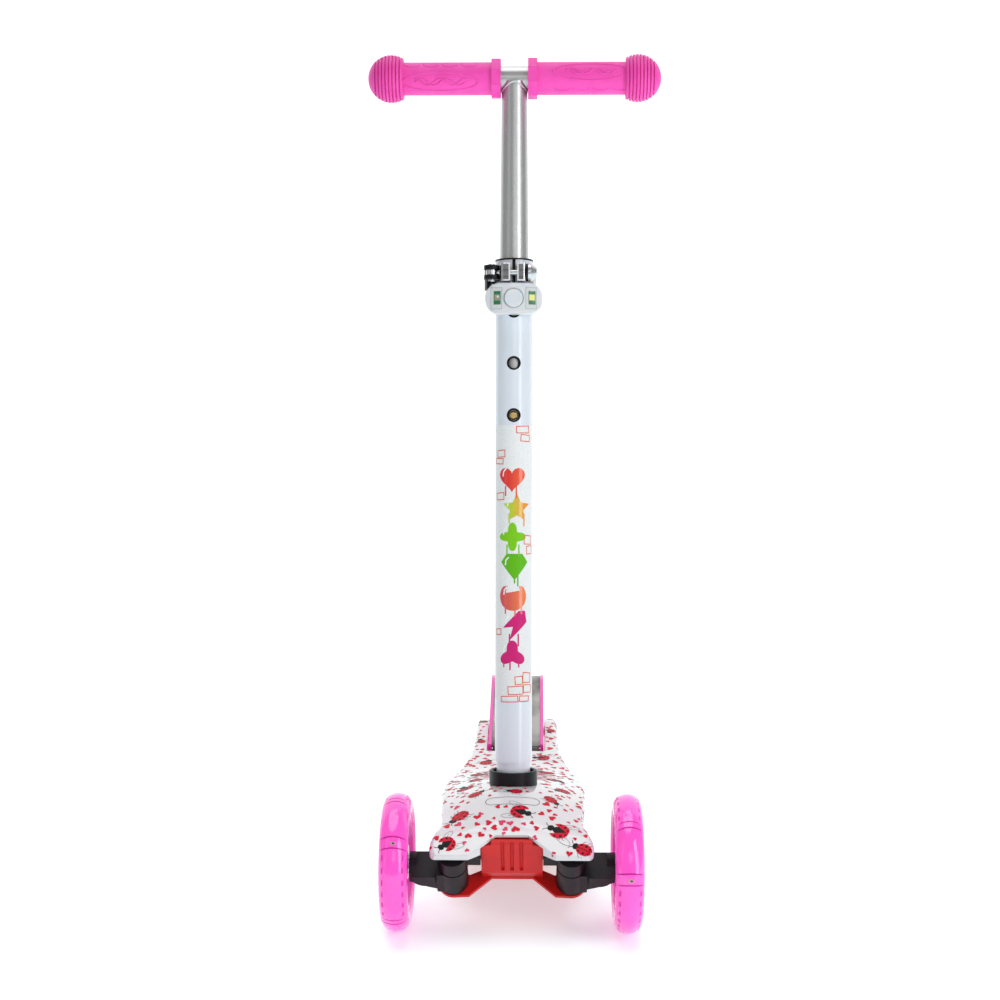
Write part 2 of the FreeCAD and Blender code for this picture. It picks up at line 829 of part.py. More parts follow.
# Stations along the deck: y, half width, side height, crown height, skirt height.
STATIONS = (
    (-251, 67.0, 81.0, 81.0, 76.5),
    (-243, 71.0, 86.5, 86.5, 78.0),
    (-234, 70.0, 91.0, 92.5, 79.5),
    (-222, 66.5, 93.5, 98.5, 80.0),
    (-208, 63.5, 94.5, 103.5, 78.0),
    (-190, 63.5, 95.0, 108.0, 69.0),
    (-170, 64.5, 95.0, 110.0, 59.5),
    (-145, 66.0, 93.5, 107.0, 58.0),
    (-115, 67.0, 90.0, 101.5, 55.0),
    (-80, 66.0, 84.5, 92.0, 55.0),
    (-45, 62.5, 78.5, 82.5, 55.0),
    (-10, 56.5, 74.0, 75.0, 55.0),
    (35, 49.0, 72.0, 72.4, 55.0),
    (80, 44.6, 71.6, 72.0, 53.5),
    (148, 43.6, 71.4, 71.8, 50.0),
    (190, 43.4, 62.0, 62.3, 32.0),
    (231, 43.4, 46.0, 46.3, 28.0),
)


def deck_section(owner, station, inset, sink):
    """One cross-section of the deck: flat skirt edge, upright sides, rounded shoulder, crowned top."""
    y, half, side, crown, skirt = station
    half = half - inset
    side = side - inset
    crown = crown - inset
    shoulder = min(6.0 - inset * 0.5, (side - skirt) * 0.6)
    low = skirt - sink
    drawn = sketch(owner, "XZ_Plane", -y)
    rise = max(crown - side, 0.15)
    run = half - shoulder
    curve = (run * run + rise * rise) / (2 * rise)
    outline(
        drawn,
        (
            (-half, low),
            (half, low),
            (half, side - shoulder, shoulder),
            (run, side, curve),
            (-run, side, shoulder),
            (-half, side - shoulder),
        ),
    )
    return drawn


def deck_loft(owner, inset, sink, stations=STATIONS, cut=False):
    return loft(owner, [deck_section(owner, station, inset, sink) for station in stations], cut)


def helper(name):
    """A body that only shapes others and isn't a piece itself."""
    return DOC.addObject("PartDesign::Body", name)


def cut_with(label, base, tools):
    """Part::Cut of a piece with one or more tools, in the world frame."""
    result = base
    for number, tool in enumerate(tools, start=1):
        cut = DOC.addObject("Part::Cut", f"{label}_cut_{number}")
        cut.Base = result
        cut.Tool = tool
        result = cut
    DOC.recompute()
    return node(result, label)


def cylinder(name, radius, length, place):
    made = DOC.addObject("Part::Cylinder", name)
    made.Radius = float(radius)
    made.Height = float(length)
    if isinstance(radius, Size):
        made.setExpression("Radius", radius.text)
    made.Placement = place
    return made


def column_drill(name, radius):
    """A round tool along the column, from under the deck to above the collar."""
    return cylinder(name, radius, 160, COLUMN.multiply(Placement(Vector(0, 0, -110), Rotation())))


def rear_mouth(owner):
    mouth = sketch(owner, "XY_Plane")
    outline(mouth, box_corners(-S.cutout_half, S.cutout_half, S.cutout_front, 260))
    pocket(owner, mouth, 200, back=True)


def trim_behind(owner, end):
    """Square off a deck moulding behind a station."""
    rest = sketch(owner, "XY_Plane")
    outline(rest, box_corners(-100, 100, end, 260))
    pocket(owner, rest, 200, back=True)


def side_holes(owner):
    """Holes across the rear arms for the wheel axle and the fender's hinge pin."""
    holes = sketch(owner, "YZ_Plane")
    circle(holes, S.rear_axle_y, S.rear_wheel_dia / 2, S.axle_dia / 2 + 0.02)
    circle(holes, S.brake_pivot_y, S.brake_pivot_z, 3.02)
    pocket(owner, holes, None, both=True)


def deck_cover():
    """White printed moulding: a thin shell with a notched nose and a cut-out for the rear wheels."""
    shell = helper("cover_shell")
    deck_loft(shell, 0, 0)
    deck_loft(shell, float(S.cover_wall), 8, STATIONS[1:], cut=True)
    notch = sketch(shell, "XY_Plane")
    outline(notch, ((-40, -252.5), (40, -252.5), (14, -233.6), (-14, -233.6)))
    pocket(shell, notch, 200, back=True)
    rear_mouth(shell)
    trim_behind(shell, S.cover_end)
    side_holes(shell)
    cut_with("deck_cover", shell, [column_drill("cover_drill", S.socket_dia / 2 + 0.05)])


def deck_frame():
    """Red load-bearing moulding under the cover: ribbed board, column base and the two rear arms."""
    board = helper("frame_board")
    inset = float(S.cover_wall) + 0.35
    deck_loft(board, inset, 3, [station for station in STATIONS if station[0] >= -170])
    rear_mouth(board)
    trim_behind(board, S.frame_end)
    for low, reach, roof in ((-96, 54, 80), (-60, 50, 74), (-24, 44, 68.5), (12, 40, 65.5)):
        cells = sketch(board, "XY_Plane")
        for left, right in ((-reach, -33), (-23, -3), (3, 23), (33, reach)):
            outline(cells, box_corners(left, right, low, low + 30))
        pocket(board, cells, roof, back=True)
    for side in (-1, 1):
        arm = sketch(board, "YZ_Plane", side * 30.5)
        circle(arm, S.rear_axle_y, S.rear_wheel_dia / 2, 13)
        pad(board, arm, 10.6, back=side < 0)
        recess = sketch(board, "YZ_Plane", side * S.nut_seat)
        circle(recess, S.rear_axle_y, S.rear_wheel_dia / 2, 8.2)
        pocket(board, recess, 20, back=side > 0)
    side_holes(board)
    flat = sketch(board, "XY_Plane")
    outline(flat, box_corners(-90, 90, -114, 34))
    pocket(board, flat, S.underside, back=True)
    screws = sketch(board, "XY_Plane")
    heads = sketch(board, "XY_Plane")
    for x, y in SCREWS:
        circle(screws, x, y, 2.02)
        circle(heads, x, y, 4.2)
    pocket(board, screws, 69, back=True)
    pocket(board, heads, 55.5, back=True)
    base = helper("frame_column_base")
    block = sketch(base, "YZ_Plane")
    outline(block, ((-196, 82), (-168, 50), (-108, 50), (-108, 86), (-168, 92), (-196, 92)))
    pad(base, block, 52, both=True)
    joined = DOC.addObject("Part::Fuse", "frame_joined")
    joined.Base = board
    joined.Tool = base
    drill = column_drill("frame_drill", S.socket_dia / 2 + 0.02)
    housing = [piece for piece in NODES if piece.Label == "truck_housing"][0]
    cut_with("deck_frame", joined, [drill, housing])


def deck_screws():
    screws = []
    for x, y in SCREWS:
        head = Part.makeCylinder(4, 2.6, Vector(x, y, 52.8))
        hexagon = Part.makePolygon(
            [
                Vector(x + 1.7 * math.cos(step * math.pi / 3), y + 1.7 * math.sin(step * math.pi / 3), 52.8)
                for step in range(7)
            ]
        )
        socket = Part.Face(hexagon).extrude(Vector(0, 0, 1.6))
        shank = Part.makeCylinder(2, 13, Vector(x, y, 55.4))
        screws.append(head.fuse(shank).cut(socket))
    set_of("deck_screws", screws)


def deck_collar():
    """Black ring on the deck; its underside follows the crowned cover."""
    ring = helper("collar_ring")
    ring.Placement = COLUMN
    profile = sketch(ring, "XZ_Plane")
    outer = S.collar_dia / 2
    outline(
        profile,
        (
            (S.socket_dia / 2 + 0.02, -S.collar_height - 5),
            (outer, -S.collar_height - 5),
            (outer, -1.2, 1.2),
            (outer - 1.2, 0),
            (S.collar_bore / 2 + 0.6, 0),
            (S.collar_bore / 2, -0.6),
            (S.collar_bore / 2, -8),
            (S.socket_dia / 2 + 0.02, -8.2),
        ),
    )
    turn(ring, profile, "V_Axis")
    envelope = helper("deck_envelope")
    deck_loft(envelope, -0.02, 0)
    cut_with("deck_collar", ring, [envelope])


def column_socket():
    """Steel socket in the deck that takes the column's foot."""
    made = body("column_socket", COLUMN)
    profile = sketch(made, "XZ_Plane")
    bore = S.foot_dia / 2 + 0.08
    outer = S.socket_dia / 2
    outline(
        profile,
        (
            (0, -S.foot_depth - 4),
            (outer, -S.foot_depth - 4),
            (outer, -8.4),
            (bore, -8.4),
            (bore, -S.foot_depth - 1),
            (0, -S.foot_depth - 1),
        ),
    )
    turn(made, profile, "V_Axis")
    hole = sketch(made, "XZ_Plane")
    circle(hole, 0, -45, 4.2)
    pocket(made, hole, S.column_dia)


# ---------------------------------------------------------------- truck

EAR_TOP = -S.hub_height / 2 - 1.8
EAR_BOTTOM = EAR_TOP - S.ear_thickness
BOSS_BOTTOM = S.hub_height / 2 + 0.3 + S.bush_flange
BOSS_TOP = S.nose_height - S.cover_wall - 1.4
LINK_Y = 20.5


def truck_housing():
    """Red nose block with upright ribs, and the flat ears that carry the kingpins' lower ends."""
    made = body("truck_housing", TRUCK)
    side = sketch(made, "YZ_Plane")
    outline(
        side,
        (
            (6.5, EAR_BOTTOM),
            (12.5, EAR_BOTTOM),
            (12.5, 10),
            (36, 12),
            (36, 22),
            (14, BOSS_TOP - 2.4),
            (2, BOSS_TOP),
            (2, -3),
        ),
    )
    pad(made, side, 54, both=True)
    tongue = sketch(made, "YZ_Plane")
    outline(tongue, box_corners(2, 6.5, BOSS_TOP - 4, BOSS_TOP + 2.9))
    pad(made, tongue, 36, both=True)
    ear = 13.6
    plate = sketch(made, "XY_Plane", EAR_BOTTOM)
    outline(
        plate,
        (
            (-18, 5),
            (18, 5),
            (38.3, -12.9),
            (S.kingpin_x, -ear, ear),
            (S.kingpin_x, ear),
            (43, 10),
            (38, 7),
            (26, 12.5),
            (-26, 12.5),
            (-38, 7),
            (-43, 10),
            (-S.kingpin_x, ear, ear),
            (-S.kingpin_x, -ear),
            (-38.3, -12.9),
        ),
    )
    pad(made, plate, S.ear_thickness)
    cheeks = sketch(made, "YZ_Plane")
    outline(cheeks, box_corners(11.5, 29.5, 2.6, 12.5))
    pad(made, cheeks, 54, both=True)
    chamber = sketch(made, "YZ_Plane")
    outline(chamber, box_corners(14.2, 27.2, 2, 10.6))
    pocket(made, chamber, 50, both=True)
    grooves = sketch(made, "XY_Plane", 1)
    for middle in (-8.2, 0, 8.2):
        left = middle - 1.6
        right = middle + 1.6
        outline(grooves, ((left, 1), (right, 1), (right, 2.4, 1.6), (left, 2.4)))
    pocket(made, grooves, 50, back=True)
    holes = sketch(made, "XY_Plane")
    for x in (-S.kingpin_x, S.kingpin_x):
        circle(holes, x, 0, S.kingpin_dia / 2 + 0.02)
    pocket(made, holes, 30)
    window = sketch(made, "YZ_Plane")
    outline(window, box_corners(4.6, 9.6, 19.8, 32.2))
    pocket(made, window, None, both=True)


def truck_beam():
    """Black upper bosses for the kingpins, joined by a bar through the housing."""
    made = body("truck_beam", TRUCK)
    bosses = sketch(made, "XY_Plane", BOSS_BOTTOM)
    circle(bosses, S.kingpin_x, 0, S.hub_dia / 2)
    circle(bosses, -S.kingpin_x, 0, S.hub_dia / 2)
    bar = sketch(made, "YZ_Plane")
    outline(bar, box_corners(4.8, 9.4, 20, 32))
    pad(made, bar, 2 * S.kingpin_x, both=True)
    pad(made, bosses, 33.6 - float(BOSS_BOTTOM))
    for side in (-1, 1):
        wing = sketch(made, "YZ_Plane", side * 27.3)
        outline(wing, box_corners(-2.8, 9.4, BOSS_BOTTOM, 32))
        pad(made, wing, 22, back=side < 0)
    holes = sketch(made, "XY_Plane", BOSS_BOTTOM - 1)
    circle(holes, S.kingpin_x, 0, S.kingpin_dia / 2 + 0.02)
    circle(holes, -S.kingpin_x, 0, S.kingpin_dia / 2 + 0.02)
    pocket(made, holes, 14, back=True)


def kingpins():
    """Hex-headed bolts from below, and the flanged bushes above and below each hub."""
    bolts, bushes = [], []
    radius = float(S.kingpin_dia) / 2
    half = float(S.hub_height) / 2
    for side in (-1, 1):
        x = side * float(S.kingpin_x)
        low = float(EAR_BOTTOM)
        corners = [
            Vector(x + 7.2 * math.cos(step * math.pi / 3), 7.2 * math.sin(step * math.pi / 3), low - 5)
            for step in range(7)
        ]
        head = Part.Face(Part.makePolygon(corners)).extrude(Vector(0, 0, 5))
        bolts.append(head.fuse(rod(radius, 49, (x, 0, low), Z_AXIS)))
        top = rod(float(S.hub_dia) / 2 - 0.5, S.bush_flange - 0.05, (x, 0, half + 0.3), Z_AXIS)
        top = top.fuse(rod(6, half - 1, (x, 0, 1.3), Z_AXIS))
        bottom = rod(float(S.hub_dia) / 2 - 0.5, 1.4, (x, 0, float(EAR_TOP) + 0.05), Z_AXIS)
        bottom = bottom.fuse(rod(6, half - 1, (x, 0, -half - 0.3), Z_AXIS))
        bore = rod(radius + 0.02, 60, (x, 0, -30), Z_AXIS)
        bushes.extend((top.cut(bore), bottom.cut(bore)))
    set_of("kingpin_bolts", bolts, TRUCK)
    set_of("kingpin_bushes", bushes, TRUCK)


def axle_in_truck():
    """The front axle's place in the kingpin frame: across and along the kingpin."""
    point = Vector(0, float(S.front_axle_y), float(S.wheel_dia) / 2)
    local = TRUCK.inverse().multVec(point)
    return local.y, local.z


def knuckle(side):
    """Hub on the kingpin, arm out to the wheel, and a short steering arm to the tie rod."""
    label = "knuckle_right" if side > 0 else "knuckle_left"
    made = body(label, kingpin_frame(side))
    half = float(S.hub_height) / 2
    axle_y, axle_z = axle_in_truck()
    reach = 38.2
    arm = sketch(made, "XZ_Plane", -12.8)
    corners = [(12, 0.6 - half), (22, 4.5 - half), (reach, 14 - half), (reach, half), (12, half)]
    outline(arm, [(side * x, z) for x, z in corners])
    pad(made, arm, 21.3)
    face = sketch(made, "XZ_Plane", 8.5)
    outline(
        face,
        (
            (side * 15, half),
            (side * 15, -1),
            (side * 23, -1, side * 12),
            (side * (reach - 3), 9),
            (side * (reach - 3), half),
        ),
    )
    pad(made, face, 4.3)
    hub = sketch(made, "XY_Plane", -half)
    circle(hub, 0, 0, S.hub_dia / 2)
    pad(made, hub, S.hub_height)
    bridge = sketch(made, "XZ_Plane")
    corners = [(0, -half), (12, 0.6 - half), (14, 1.4 - half), (14, half), (0, half)]
    outline(bridge, [(side * x, z) for x, z in corners])
    pad(made, bridge, 22, both=True)
    boss = sketch(made, "YZ_Plane", side * (reach - 7))
    circle(boss, axle_y, axle_z, 8.6)
    pad(made, boss, 7, back=side < 0)
    lever = sketch(made, "XY_Plane", 3)
    outline(lever, ((-5, 8), (5, 8), (5, LINK_Y, 5), (-5, LINK_Y)))
    pad(made, lever, 6)
    pin = sketch(made, "XY_Plane", -4)
    circle(pin, 0, LINK_Y, 3)
    pad(made, pin, 8)
    axle = sketch(made, "YZ_Plane", side * (reach + 1))
    circle(axle, axle_y, axle_z, S.axle_dia / 2 + 0.02)
    pocket(made, axle, 20, back=side < 0)
    bore = sketch(made, "XY_Plane")
    circle(bore, 0, 0, 6.06)
    pocket(made, bore, None, both=True)


def tie_rod():
    """Flat link behind the kingpins; its slots let the steering pins swing through their arcs."""
    made = body("tie_rod", TRUCK)
    plan = sketch(made, "XY_Plane", -2.5)
    x = S.kingpin_x
    outline(
        plan,
        (
            (-x, LINK_Y - 5.6),
            (x, LINK_Y - 5.6, 5.6),
            (x, LINK_Y + 5.6),
            (-x, LINK_Y + 5.6, 5.6),
        ),
    )
    pad(made, plan, 4)
    slots = sketch(made, "XY_Plane", -2.5)
    for centre in (-x, x):
        low, high = LINK_Y - 0.9, LINK_Y + 0.2
        outline(
            slots,
            (
                (centre + 3.3, low),
                (centre + 3.3, high, 3.3),
                (centre - 3.3, high),
                (centre - 3.3, low, 3.3),
            ),
        )
    pocket(made, slots, 4, back=True)
    tab = sketch(made, "XY_Plane", 1.5)
    outline(tab, box_corners(-1.5, 1.5, LINK_Y - 4, LINK_Y + 4))
    pad(made, tab, 7.6)


def steering_springs():
    """Two coils between the tie rod's tab and the housing: they bring the wheels back to straight."""
    coils = []
    for side in (-1, 1):
        coil = coil_spring(2.8, 0.5, 21.8, 9)
        coil.rotate(Vector(0, 0, 0), Vector(0, 1, 0), side * 90)
        coil.translate(Vector(side * 2.3, LINK_Y, 6.2))
        coils.append(coil)
    set_of("steering_springs", coils, TRUCK)


# ---------------------------------------------------------------- wheels


def ring_profile(owner, corners):
    """Revolve a half-section, given as (across, radius), about the axle."""
    drawn = sketch(owner, "XZ_Plane")
    outline(drawn, corners)
    return turn(owner, drawn, "H_Axis")


def bearings(label, place, offset):
    rings = []
    for side in (-1, 1):
        start = side * offset - (float(S.bearing_width) if side < 0 else 0)
        outer = rod(S.bearing_dia / 2, S.bearing_width, (start, 0, 0), X_AXIS)
        rings.append(outer.cut(rod(S.bearing_bore / 2 + 0.05, S.bearing_width, (start, 0, 0), X_AXIS)))
    set_of(label, rings, place)


def windows(owner, inner, outer, count, spread, depth):
    """Openings through the web between two radii, repeated round the axle."""
    drawn = sketch(owner, "YZ_Plane")
    half = math.radians(spread) / 2
    outline(
        drawn,
        (
            (inner * math.cos(-half), inner * math.sin(-half)),
            (outer * math.cos(-half), outer * math.sin(-half), outer),
            (outer * math.cos(half), outer * math.sin(half)),
            (inner * math.cos(half), inner * math.sin(half), -inner),
        ),
    )
    feature = pocket(owner, drawn, depth, both=True)
    repeat(owner, [feature], "X_Axis", count)


def front_wheel(side, first_led):
    """Soft tyre on a windowed core, three LED modules in the rim, two bearings, and the axle bolt."""
    name = "right" if side > 0 else "left"
    place = axle_frame(side)
    half, radius, rim = S.tyre_width / 2, S.wheel_dia / 2, S.rim_dia / 2
    tyre = body(f"front_tyre_{name}", place)
    ring_profile(
        tyre,
        (
            (-11, rim + 0.05),
            (11, rim + 0.05),
            (half, rim + 6, 10.6),
            (7.5, radius - 2, 15.06),
            (-7.5, radius - 2, 10.6),
            (-half, rim + 6),
        ),
    )
    core = body(f"front_core_{name}", place)
    hub = S.bearing_dia / 2
    ring_profile(
        core,
        (
            (-9.4, hub + 0.02),
            (-2.4, hub + 0.02),
            (-2.4, hub - 1.6),
            (2.4, hub - 1.6),
            (2.4, hub + 0.02),
            (9.4, hub + 0.02),
            (9.4, hub + 4),
            (3.5, hub + 6.5),
            (3.5, rim - 8),
            (10.5, rim - 5),
            (10.5, rim),
            (-10.5, rim),
            (-10.5, rim - 5),
            (-3.5, rim - 8),
            (-3.5, hub + 6.5),
            (-9.4, hub + 4),
        ),
    )
    windows(core, 20, 33, 5, 44, 8)
    pockets = helper(f"led_pockets_{name}")
    recess = sketch(pockets, "XY_Plane", 36.6)
    outline(recess, box_corners(-5.2, 5.2, -7.2, 7.2))
    first = pad(pockets, recess, 8)
    repeat(pockets, [first], "X_Axis", 3)
    pockets.Placement = place.multiply(Placement(Vector(), Rotation(Vector(1, 0, 0), first_led)))
    NODES.remove(core)
    core.Label = f"core_blank_{name}"
    core.Placement = place
    cut_with(f"front_core_{name}", core, [pockets])
    modules = []
    for step in range(3):
        board = Part.makeBox(10, 14, 4.2, Vector(-5, -7, 36.8))
        module = board.fuse(Part.makeBox(5, 5, 1.9, Vector(-2.5, -2.5, 41)))
        module.rotate(Vector(0, 0, 0), Vector(1, 0, 0), first_led + 120 * step)
        modules.append(module)
    set_of(f"front_leds_{name}", modules, place)
    bearings(f"front_bearings_{name}", place, 2.45)
    bolt = body(f"axle_bolt_{name}", place)
    shank = float(S.axle_dia) / 2
    ring_profile(
        bolt,
        [
            (side * x, r)
            for x, r in (
                (-27, 0),
                (-27, shank),
                (-10.7, shank),
                (-10.7, 6),
                (-9.7, 6),
                (-9.7, shank),
                (9.7, shank),
                (9.7, 6.8),
                (12.6, 6.8),
                (14.2, 5),
                (14.2, 2.5),
                (12, 2.5),
                (12, 0),
            )
        ],
    )


def rear_wheel(side):
    name = "right" if side > 0 else "left"
    half, radius, rim = S.rear_tyre_width / 2, S.rear_wheel_dia / 2, S.rear_rim_dia / 2
    place = rear_frame(side * (float(S.rear_wheel_gap) / 2 + float(half)))
    tyre = body(f"rear_tyre_{name}", place)
    ring_profile(
        tyre,
        (
            (-10.5, rim + 0.05),
            (10.5, rim + 0.05),
            (half, rim + 6, 5.3),
            (7, radius - 1.8, 14.5),
            (-7, radius - 1.8, 5.3),
            (-half, rim + 6),
        ),
    )
    core = body(f"rear_core_{name}", place)
    hub = S.bearing_dia / 2
    ring_profile(
        core,
        (
            (-10.4, hub + 0.02),
            (-3.4, hub + 0.02),
            (-3.4, hub - 1.6),
            (3.4, hub - 1.6),
            (3.4, hub + 0.02),
            (10.4, hub + 0.02),
            (10.4, hub + 3),
            (5, hub + 5),
            (5, rim - 5),
            (10, rim - 3),
            (10, rim),
            (-10, rim),
            (-10, rim - 3),
            (-5, rim - 5),
            (-5, hub + 5),
            (-10.4, hub + 3),
        ),
    )
    windows(core, 17, 21.5, 6, 36, 12)
    bearings(f"rear_bearings_{name}", place, 3.42)


def rear_axle():
    place = rear_frame()
    radius = float(S.axle_dia) / 2
    bar = body("rear_axle", place)
    end = S.nut_seat + 5
    ring_profile(
        bar,
        (
            (-end, 0),
            (-end, radius - 0.6),
            (0.6 - end, radius),
            (end - 0.6, radius),
            (end, radius - 0.6),
            (end, 0),
        ),
    )
    nuts, spacers = [], []
    for side in (-1, 1):
        start = side * float(S.nut_seat + 0.05)
        corners = [
            Vector(start, 7.4 * math.cos(step * math.pi / 3), 7.4 * math.sin(step * math.pi / 3))
            for step in range(7)
        ]
        nut = Part.Face(Part.makePolygon(corners)).extrude(Vector(side * 4.2, 0, 0))
        nuts.append(nut.cut(rod(radius + 0.02, 110, (-55, 0, 0), X_AXIS)))
        inner = 27.9 if side > 0 else -30.2
        ring = rod(6, 2.3, (inner, 0, 0), X_AXIS)
        spacers.append(ring.cut(rod(radius + 0.02, 110, (-55, 0, 0), X_AXIS)))
    set_of("rear_axle_nuts", nuts, place)
    set_of("rear_spacers", spacers, place)


# ---------------------------------------------------------------- foot brake


def fender_side(owner, radius, front, thick, offset=0):
    """Side view of a fender strip: a ramp from the hinge that runs into an arc round the wheels."""
    centre = (float(S.rear_axle_y), float(S.rear_wheel_dia) / 2)
    slope = math.radians(FENDER_SLOPE)
    end = math.radians(25)
    drawn = sketch(owner, "YZ_Plane", offset)
    inner = radius - thick
    crest = [
        (centre[0] - r * math.sin(slope), centre[1] + r * math.cos(slope)) for r in (radius, inner)
    ]
    starts = [(front, high - (at - front) * math.tan(slope)) for at, high in crest]
    outline(
        drawn,
        (
            starts[1],
            (crest[1][0], crest[1][1], -inner),
            (centre[0] + inner * math.cos(end), centre[1] + inner * math.sin(end)),
            (centre[0] + radius * math.cos(end), centre[1] + radius * math.sin(end), radius),
            crest[0],
            starts[0],
        ),
    )
    return drawn


FENDER_SLOPE = 10.6


def fender():
    """Foot brake: a moulding with side rails and ribs that press on the wheels, and a steel plate on top."""
    outer = float(S.fender_radius)
    frame = body("fender_frame")
    pad(frame, fender_side(frame, outer, 62, 15), 2 * S.fender_half, both=True)
    pocket(frame, fender_side(frame, outer - 5.4, 58, 30), 2 * (S.fender_half - 3.6), both=True)
    pocket(frame, fender_side(frame, outer + 3, 58, 5.4), 2 * (S.fender_half - 3.6), both=True)
    for middle in (-20, -7, 7, 20):
        pad(frame, fender_side(frame, outer - 4.5, 176, 13.5, middle), 3, both=True)
    nose = sketch(frame, "YZ_Plane")
    outline(nose, box_corners(56, 65.5, 50, 90))
    pocket(frame, nose, 2 * (S.fender_half - 3.6), both=True)
    barrel = sketch(frame, "YZ_Plane")
    circle(barrel, S.brake_pivot_y, S.brake_pivot_z, 6.2)
    pad(frame, barrel, 2 * S.fender_half, both=True)
    gap = sketch(frame, "YZ_Plane")
    circle(gap, S.brake_pivot_y, S.brake_pivot_z, 6.6)
    pocket(frame, gap, 26, both=True)
    bore = sketch(frame, "YZ_Plane")
    circle(bore, S.brake_pivot_y, S.brake_pivot_z, 3.06)
    pocket(frame, bore, None, both=True)
    plate = body("fender_plate")
    pad(plate, fender_side(plate, outer - 1.2, 61, 1.15), 2 * (S.fender_half - 3.8), both=True)


def fender_hinge():
    """Steel pin across the deck's arms, and the torsion spring that lifts the brake off the wheels."""
    pin = body("fender_pin", Placement(Vector(0, float(S.brake_pivot_y), float(S.brake_pivot_z)), Rotation()))
    drawn = sketch(pin, "YZ_Plane")
    circle(drawn, 0, 0, 3)
    pad(pin, drawn, 84, both=True)
    coil = coil_spring(4.6, 0.7, 18, 9)
    coil.rotate(Vector(0, 0, 0), Vector(0, 1, 0), 90)
    coil.translate(Vector(-9, 0, 0))
    set_of("fender_spring", [coil], pin.Placement)


# ---------------------------------------------------------------- build

column_tube()
tube_liner()
column_foot()
foot_button()
foot_spring()
clamp_collar()
clamp_bolt()
clamp_pin_and_washers()
clamp_nut()
clamp_lever()
lamp_body()
lamp_contents()
upper_tube()
crossbar()
weld_bead()
grip(-1)
grip(1)
snap_button()
snap_spring()
deck_cover()
truck_housing()
deck_frame()
deck_screws()
deck_collar()
column_socket()
truck_beam()
kingpins()
knuckle(-1)
knuckle(1)
tie_rod()
steering_springs()
front_wheel(-1, 45)
front_wheel(1, 85)
rear_wheel(-1)
rear_wheel(1)
rear_axle()
fender()
fender_hinge()

DOC.recompute()
for item in DOC.Objects:
    if "Invalid" in item.State or "Error" in item.State:
        raise RuntimeError(f"{item.Label} is {item.State}")
os.makedirs("parts", exist_ok=True)
for piece in NODES:
    if piece.Shape.isNull() or not piece.Shape.isValid() or piece.Shape.Volume <= 0:
        raise RuntimeError(f"{piece.Label} has no valid solid")
    piece.Shape.exportStep(f"parts/{piece.Label}.step")
    print(piece.Label, len(piece.Shape.Solids), round(piece.Shape.Volume))
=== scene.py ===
import json
import math

import bmesh
import bpy
from mathutils import Matrix, Vector
from mathutils.bvhtree import BVHTree


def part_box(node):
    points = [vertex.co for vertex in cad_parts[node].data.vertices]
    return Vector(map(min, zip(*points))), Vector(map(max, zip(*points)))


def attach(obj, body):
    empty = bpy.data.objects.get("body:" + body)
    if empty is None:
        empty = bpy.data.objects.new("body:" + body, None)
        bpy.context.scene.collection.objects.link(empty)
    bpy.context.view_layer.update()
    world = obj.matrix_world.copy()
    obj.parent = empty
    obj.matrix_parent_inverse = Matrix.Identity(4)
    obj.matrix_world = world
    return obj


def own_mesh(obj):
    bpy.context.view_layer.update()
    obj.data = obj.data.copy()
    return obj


# Looks of the three-wheeled kick scooter: materials, printed graphics, moulded detail, light and camera.
# Metres, +Z up, the front faces -Y.

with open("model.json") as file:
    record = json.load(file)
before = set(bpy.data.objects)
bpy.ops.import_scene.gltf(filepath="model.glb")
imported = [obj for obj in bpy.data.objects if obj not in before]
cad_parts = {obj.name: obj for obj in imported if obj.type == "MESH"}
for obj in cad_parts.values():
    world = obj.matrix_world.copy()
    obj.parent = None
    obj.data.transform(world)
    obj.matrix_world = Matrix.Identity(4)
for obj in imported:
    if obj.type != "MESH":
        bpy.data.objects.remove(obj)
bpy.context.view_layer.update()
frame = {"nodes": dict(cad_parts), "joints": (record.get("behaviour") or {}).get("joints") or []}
NODES = frame["nodes"]
MM = 0.001


# The column's own frame: origin on its axis at the top of the deck collar, Z up the column.
COLUMN_AXIS = Vector(next(j["axis"] for j in frame["joints"] if j["name"] == "column_pull")).normalized()
COLUMN_FOOT = Vector((0, -0.134, 0.117))
COLUMN_LEAN = Vector((0, 0, 1)).rotation_difference(COLUMN_AXIS)
COLUMN = Matrix.Translation(COLUMN_FOOT) @ COLUMN_LEAN.to_matrix().to_4x4()
BACKWARDS = COLUMN.to_3x3() @ Vector((0, 1, 0))
TUBE_RADIUS = 17.0 * MM
BAR_HEIGHT = 637 * MM
GRIP_RADIUS = 14.8


# ---------------------------------------------------------------- shader helpers


